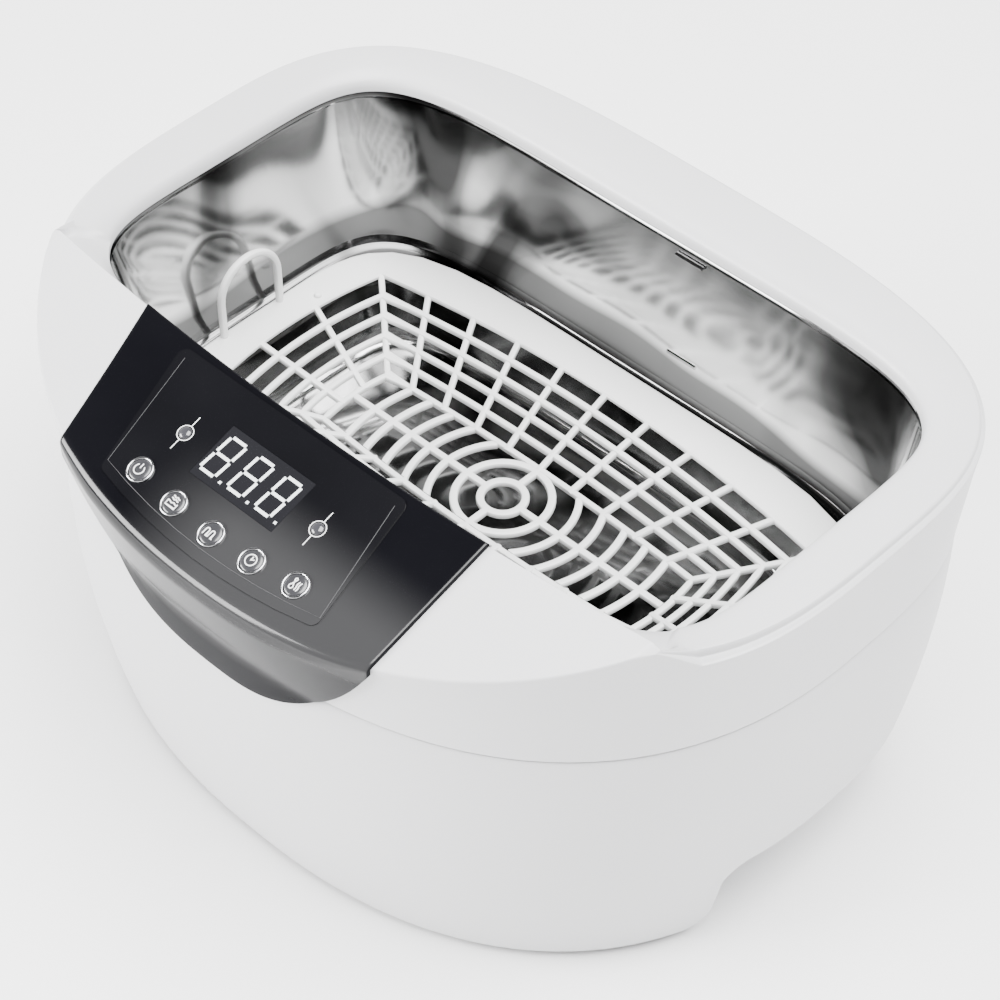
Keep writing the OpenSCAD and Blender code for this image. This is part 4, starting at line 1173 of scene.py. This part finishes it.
# ---------------------------------------------------------------------------
# Pieces on their bodies
# ---------------------------------------------------------------------------
def make_pieces(materials):
    def add(piece, body, slot, *nodes, finish=None):
        """Gives a piece its body, its slot, its finish and the CAD nodes that it stands for."""
        piece.data.materials.clear()
        piece.data.materials.append(materials[finish or slot])
        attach(piece, body)
        if nodes:
            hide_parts(*nodes)

    add(upper_shell(), "housing", "white_abs", "upper_housing")
    add(lower_shell(), "housing", "white_abs", "lower_housing")
    add(tank_shell(), "housing", "polished_steel", "tank")
    add(basket_piece(), "basket", "basket_plastic", "basket")
    add(basket_floor_piece(), "basket", "basket_plastic", "basket_floor")
    add(basket_loops_piece(), "basket", "basket_plastic", "basket_loops")
    panel = panel_piece()
    add(panel, "housing", "panel_gloss", "control_panel")
    panel.data.materials.append(materials["panel_edge"])
    for face in panel.data.polygons:
        face.material_index = 1 if abs(face.normal.x) > 0.6 else 0
    add(ring_piece(), "housing", "ring_chrome", "button_rings")
    for node, x in zip(("left_indicator", "right_indicator"), lamp_places()):
        add(lamp_piece(node, x), "housing", "lamp_lens", node)
    for node, (x, s) in zip(SYMBOLS, button_places()):
        add(button_piece(node, x, s), node, "button_black", node)
        add(symbol_piece(node, x, s), node, "button_black", finish="printed_white")
    add(digit_piece(), "housing", "display_body", finish="display_segments")
    add(lamp_stems(), "housing", "panel_film", finish="printed_white")
    add(film_edge_highlight(), "housing", "panel_film", finish="painted_highlight_grey")


def finish_cad_nodes(materials):
    slots = {row["node"]: row["material_slot"] for row in frame["record"]["subparts"]}
    for node, obj in frame["nodes"].items():
        obj.data.materials.clear()
        obj.data.materials.append(materials[slots[node]])


# ---------------------------------------------------------------------------
# Floor, lights and camera
# ---------------------------------------------------------------------------
def make_floor():
    half = 6.0
    rows = [[Vector((x, y, 0)) for x in (-half, half)] for y in (-half, half)]
    floor = new_object("floor", *grid(rows))
    paint = surface("floor_white", (0.93, 0.93, 0.93), 0.9, bump=0.0, vary=0.0, rough_vary=0.0)
    floor.data.materials.append(paint)


def aim(obj, target):
    obj.rotation_euler = (target - obj.location).to_track_quat("-Z", "Y").to_euler()


def area_light(name, place, target, size, power):
    data = bpy.data.lights.new(name, "AREA")
    data.shape = "RECTANGLE"
    data.size, data.size_y = size
    data.energy = power
    light = bpy.data.objects.new(name, data)
    bpy.context.scene.collection.objects.link(light)
    light.location = place
    aim(light, Vector(target))


def make_world():
    """A bright horizon that darkens towards the zenith."""
    world = bpy.data.worlds.new("studio")
    bpy.context.scene.world = world
    world.use_nodes = True
    tree = world.node_tree
    place = make_node(tree, "TexCoord", "Generated", {})
    height = make_node(tree, "SeparateXYZ", "Z", {"Vector": place})
    background = tree.nodes["Background"].inputs
    feed(tree, background["Color"], color_ramp(tree, height, ((0.15, 1.0), (0.8, 0.02))))
    feed(tree, background["Strength"], 0.9)


def make_lights():
    """A wide soft light above and a smaller one in front on the left, in metres and watts."""
    middle = (0, 0, 0.08)
    area_light("top", (0.45, 0.15, 1.9), middle, (1.7, 1.7), 175)
    area_light("key", (-1.2, -1.4, 0.8), middle, (1.2, 0.8), 110)


def make_camera():
    """Looks down 46 degrees from the front right, a little past the middle of the rim."""
    data = bpy.data.cameras.new("camera")
    data.lens = 101.55
    data.sensor_width = 36
    data.clip_start = 0.05
    camera = bpy.data.objects.new("camera", data)
    bpy.context.scene.collection.objects.link(camera)
    camera.location = at(428.95, -447.46, 697.77)
    aim(camera, at(50.98, -54.27, RIM_Z))
    bpy.context.scene.camera = camera


make_camera()
make_world()
make_lights()
make_floor()
finishes = make_materials()
finish_cad_nodes(finishes)
make_pieces(finishes)


def corners(box):
    return [[float(value) for value in corner] for corner in box]
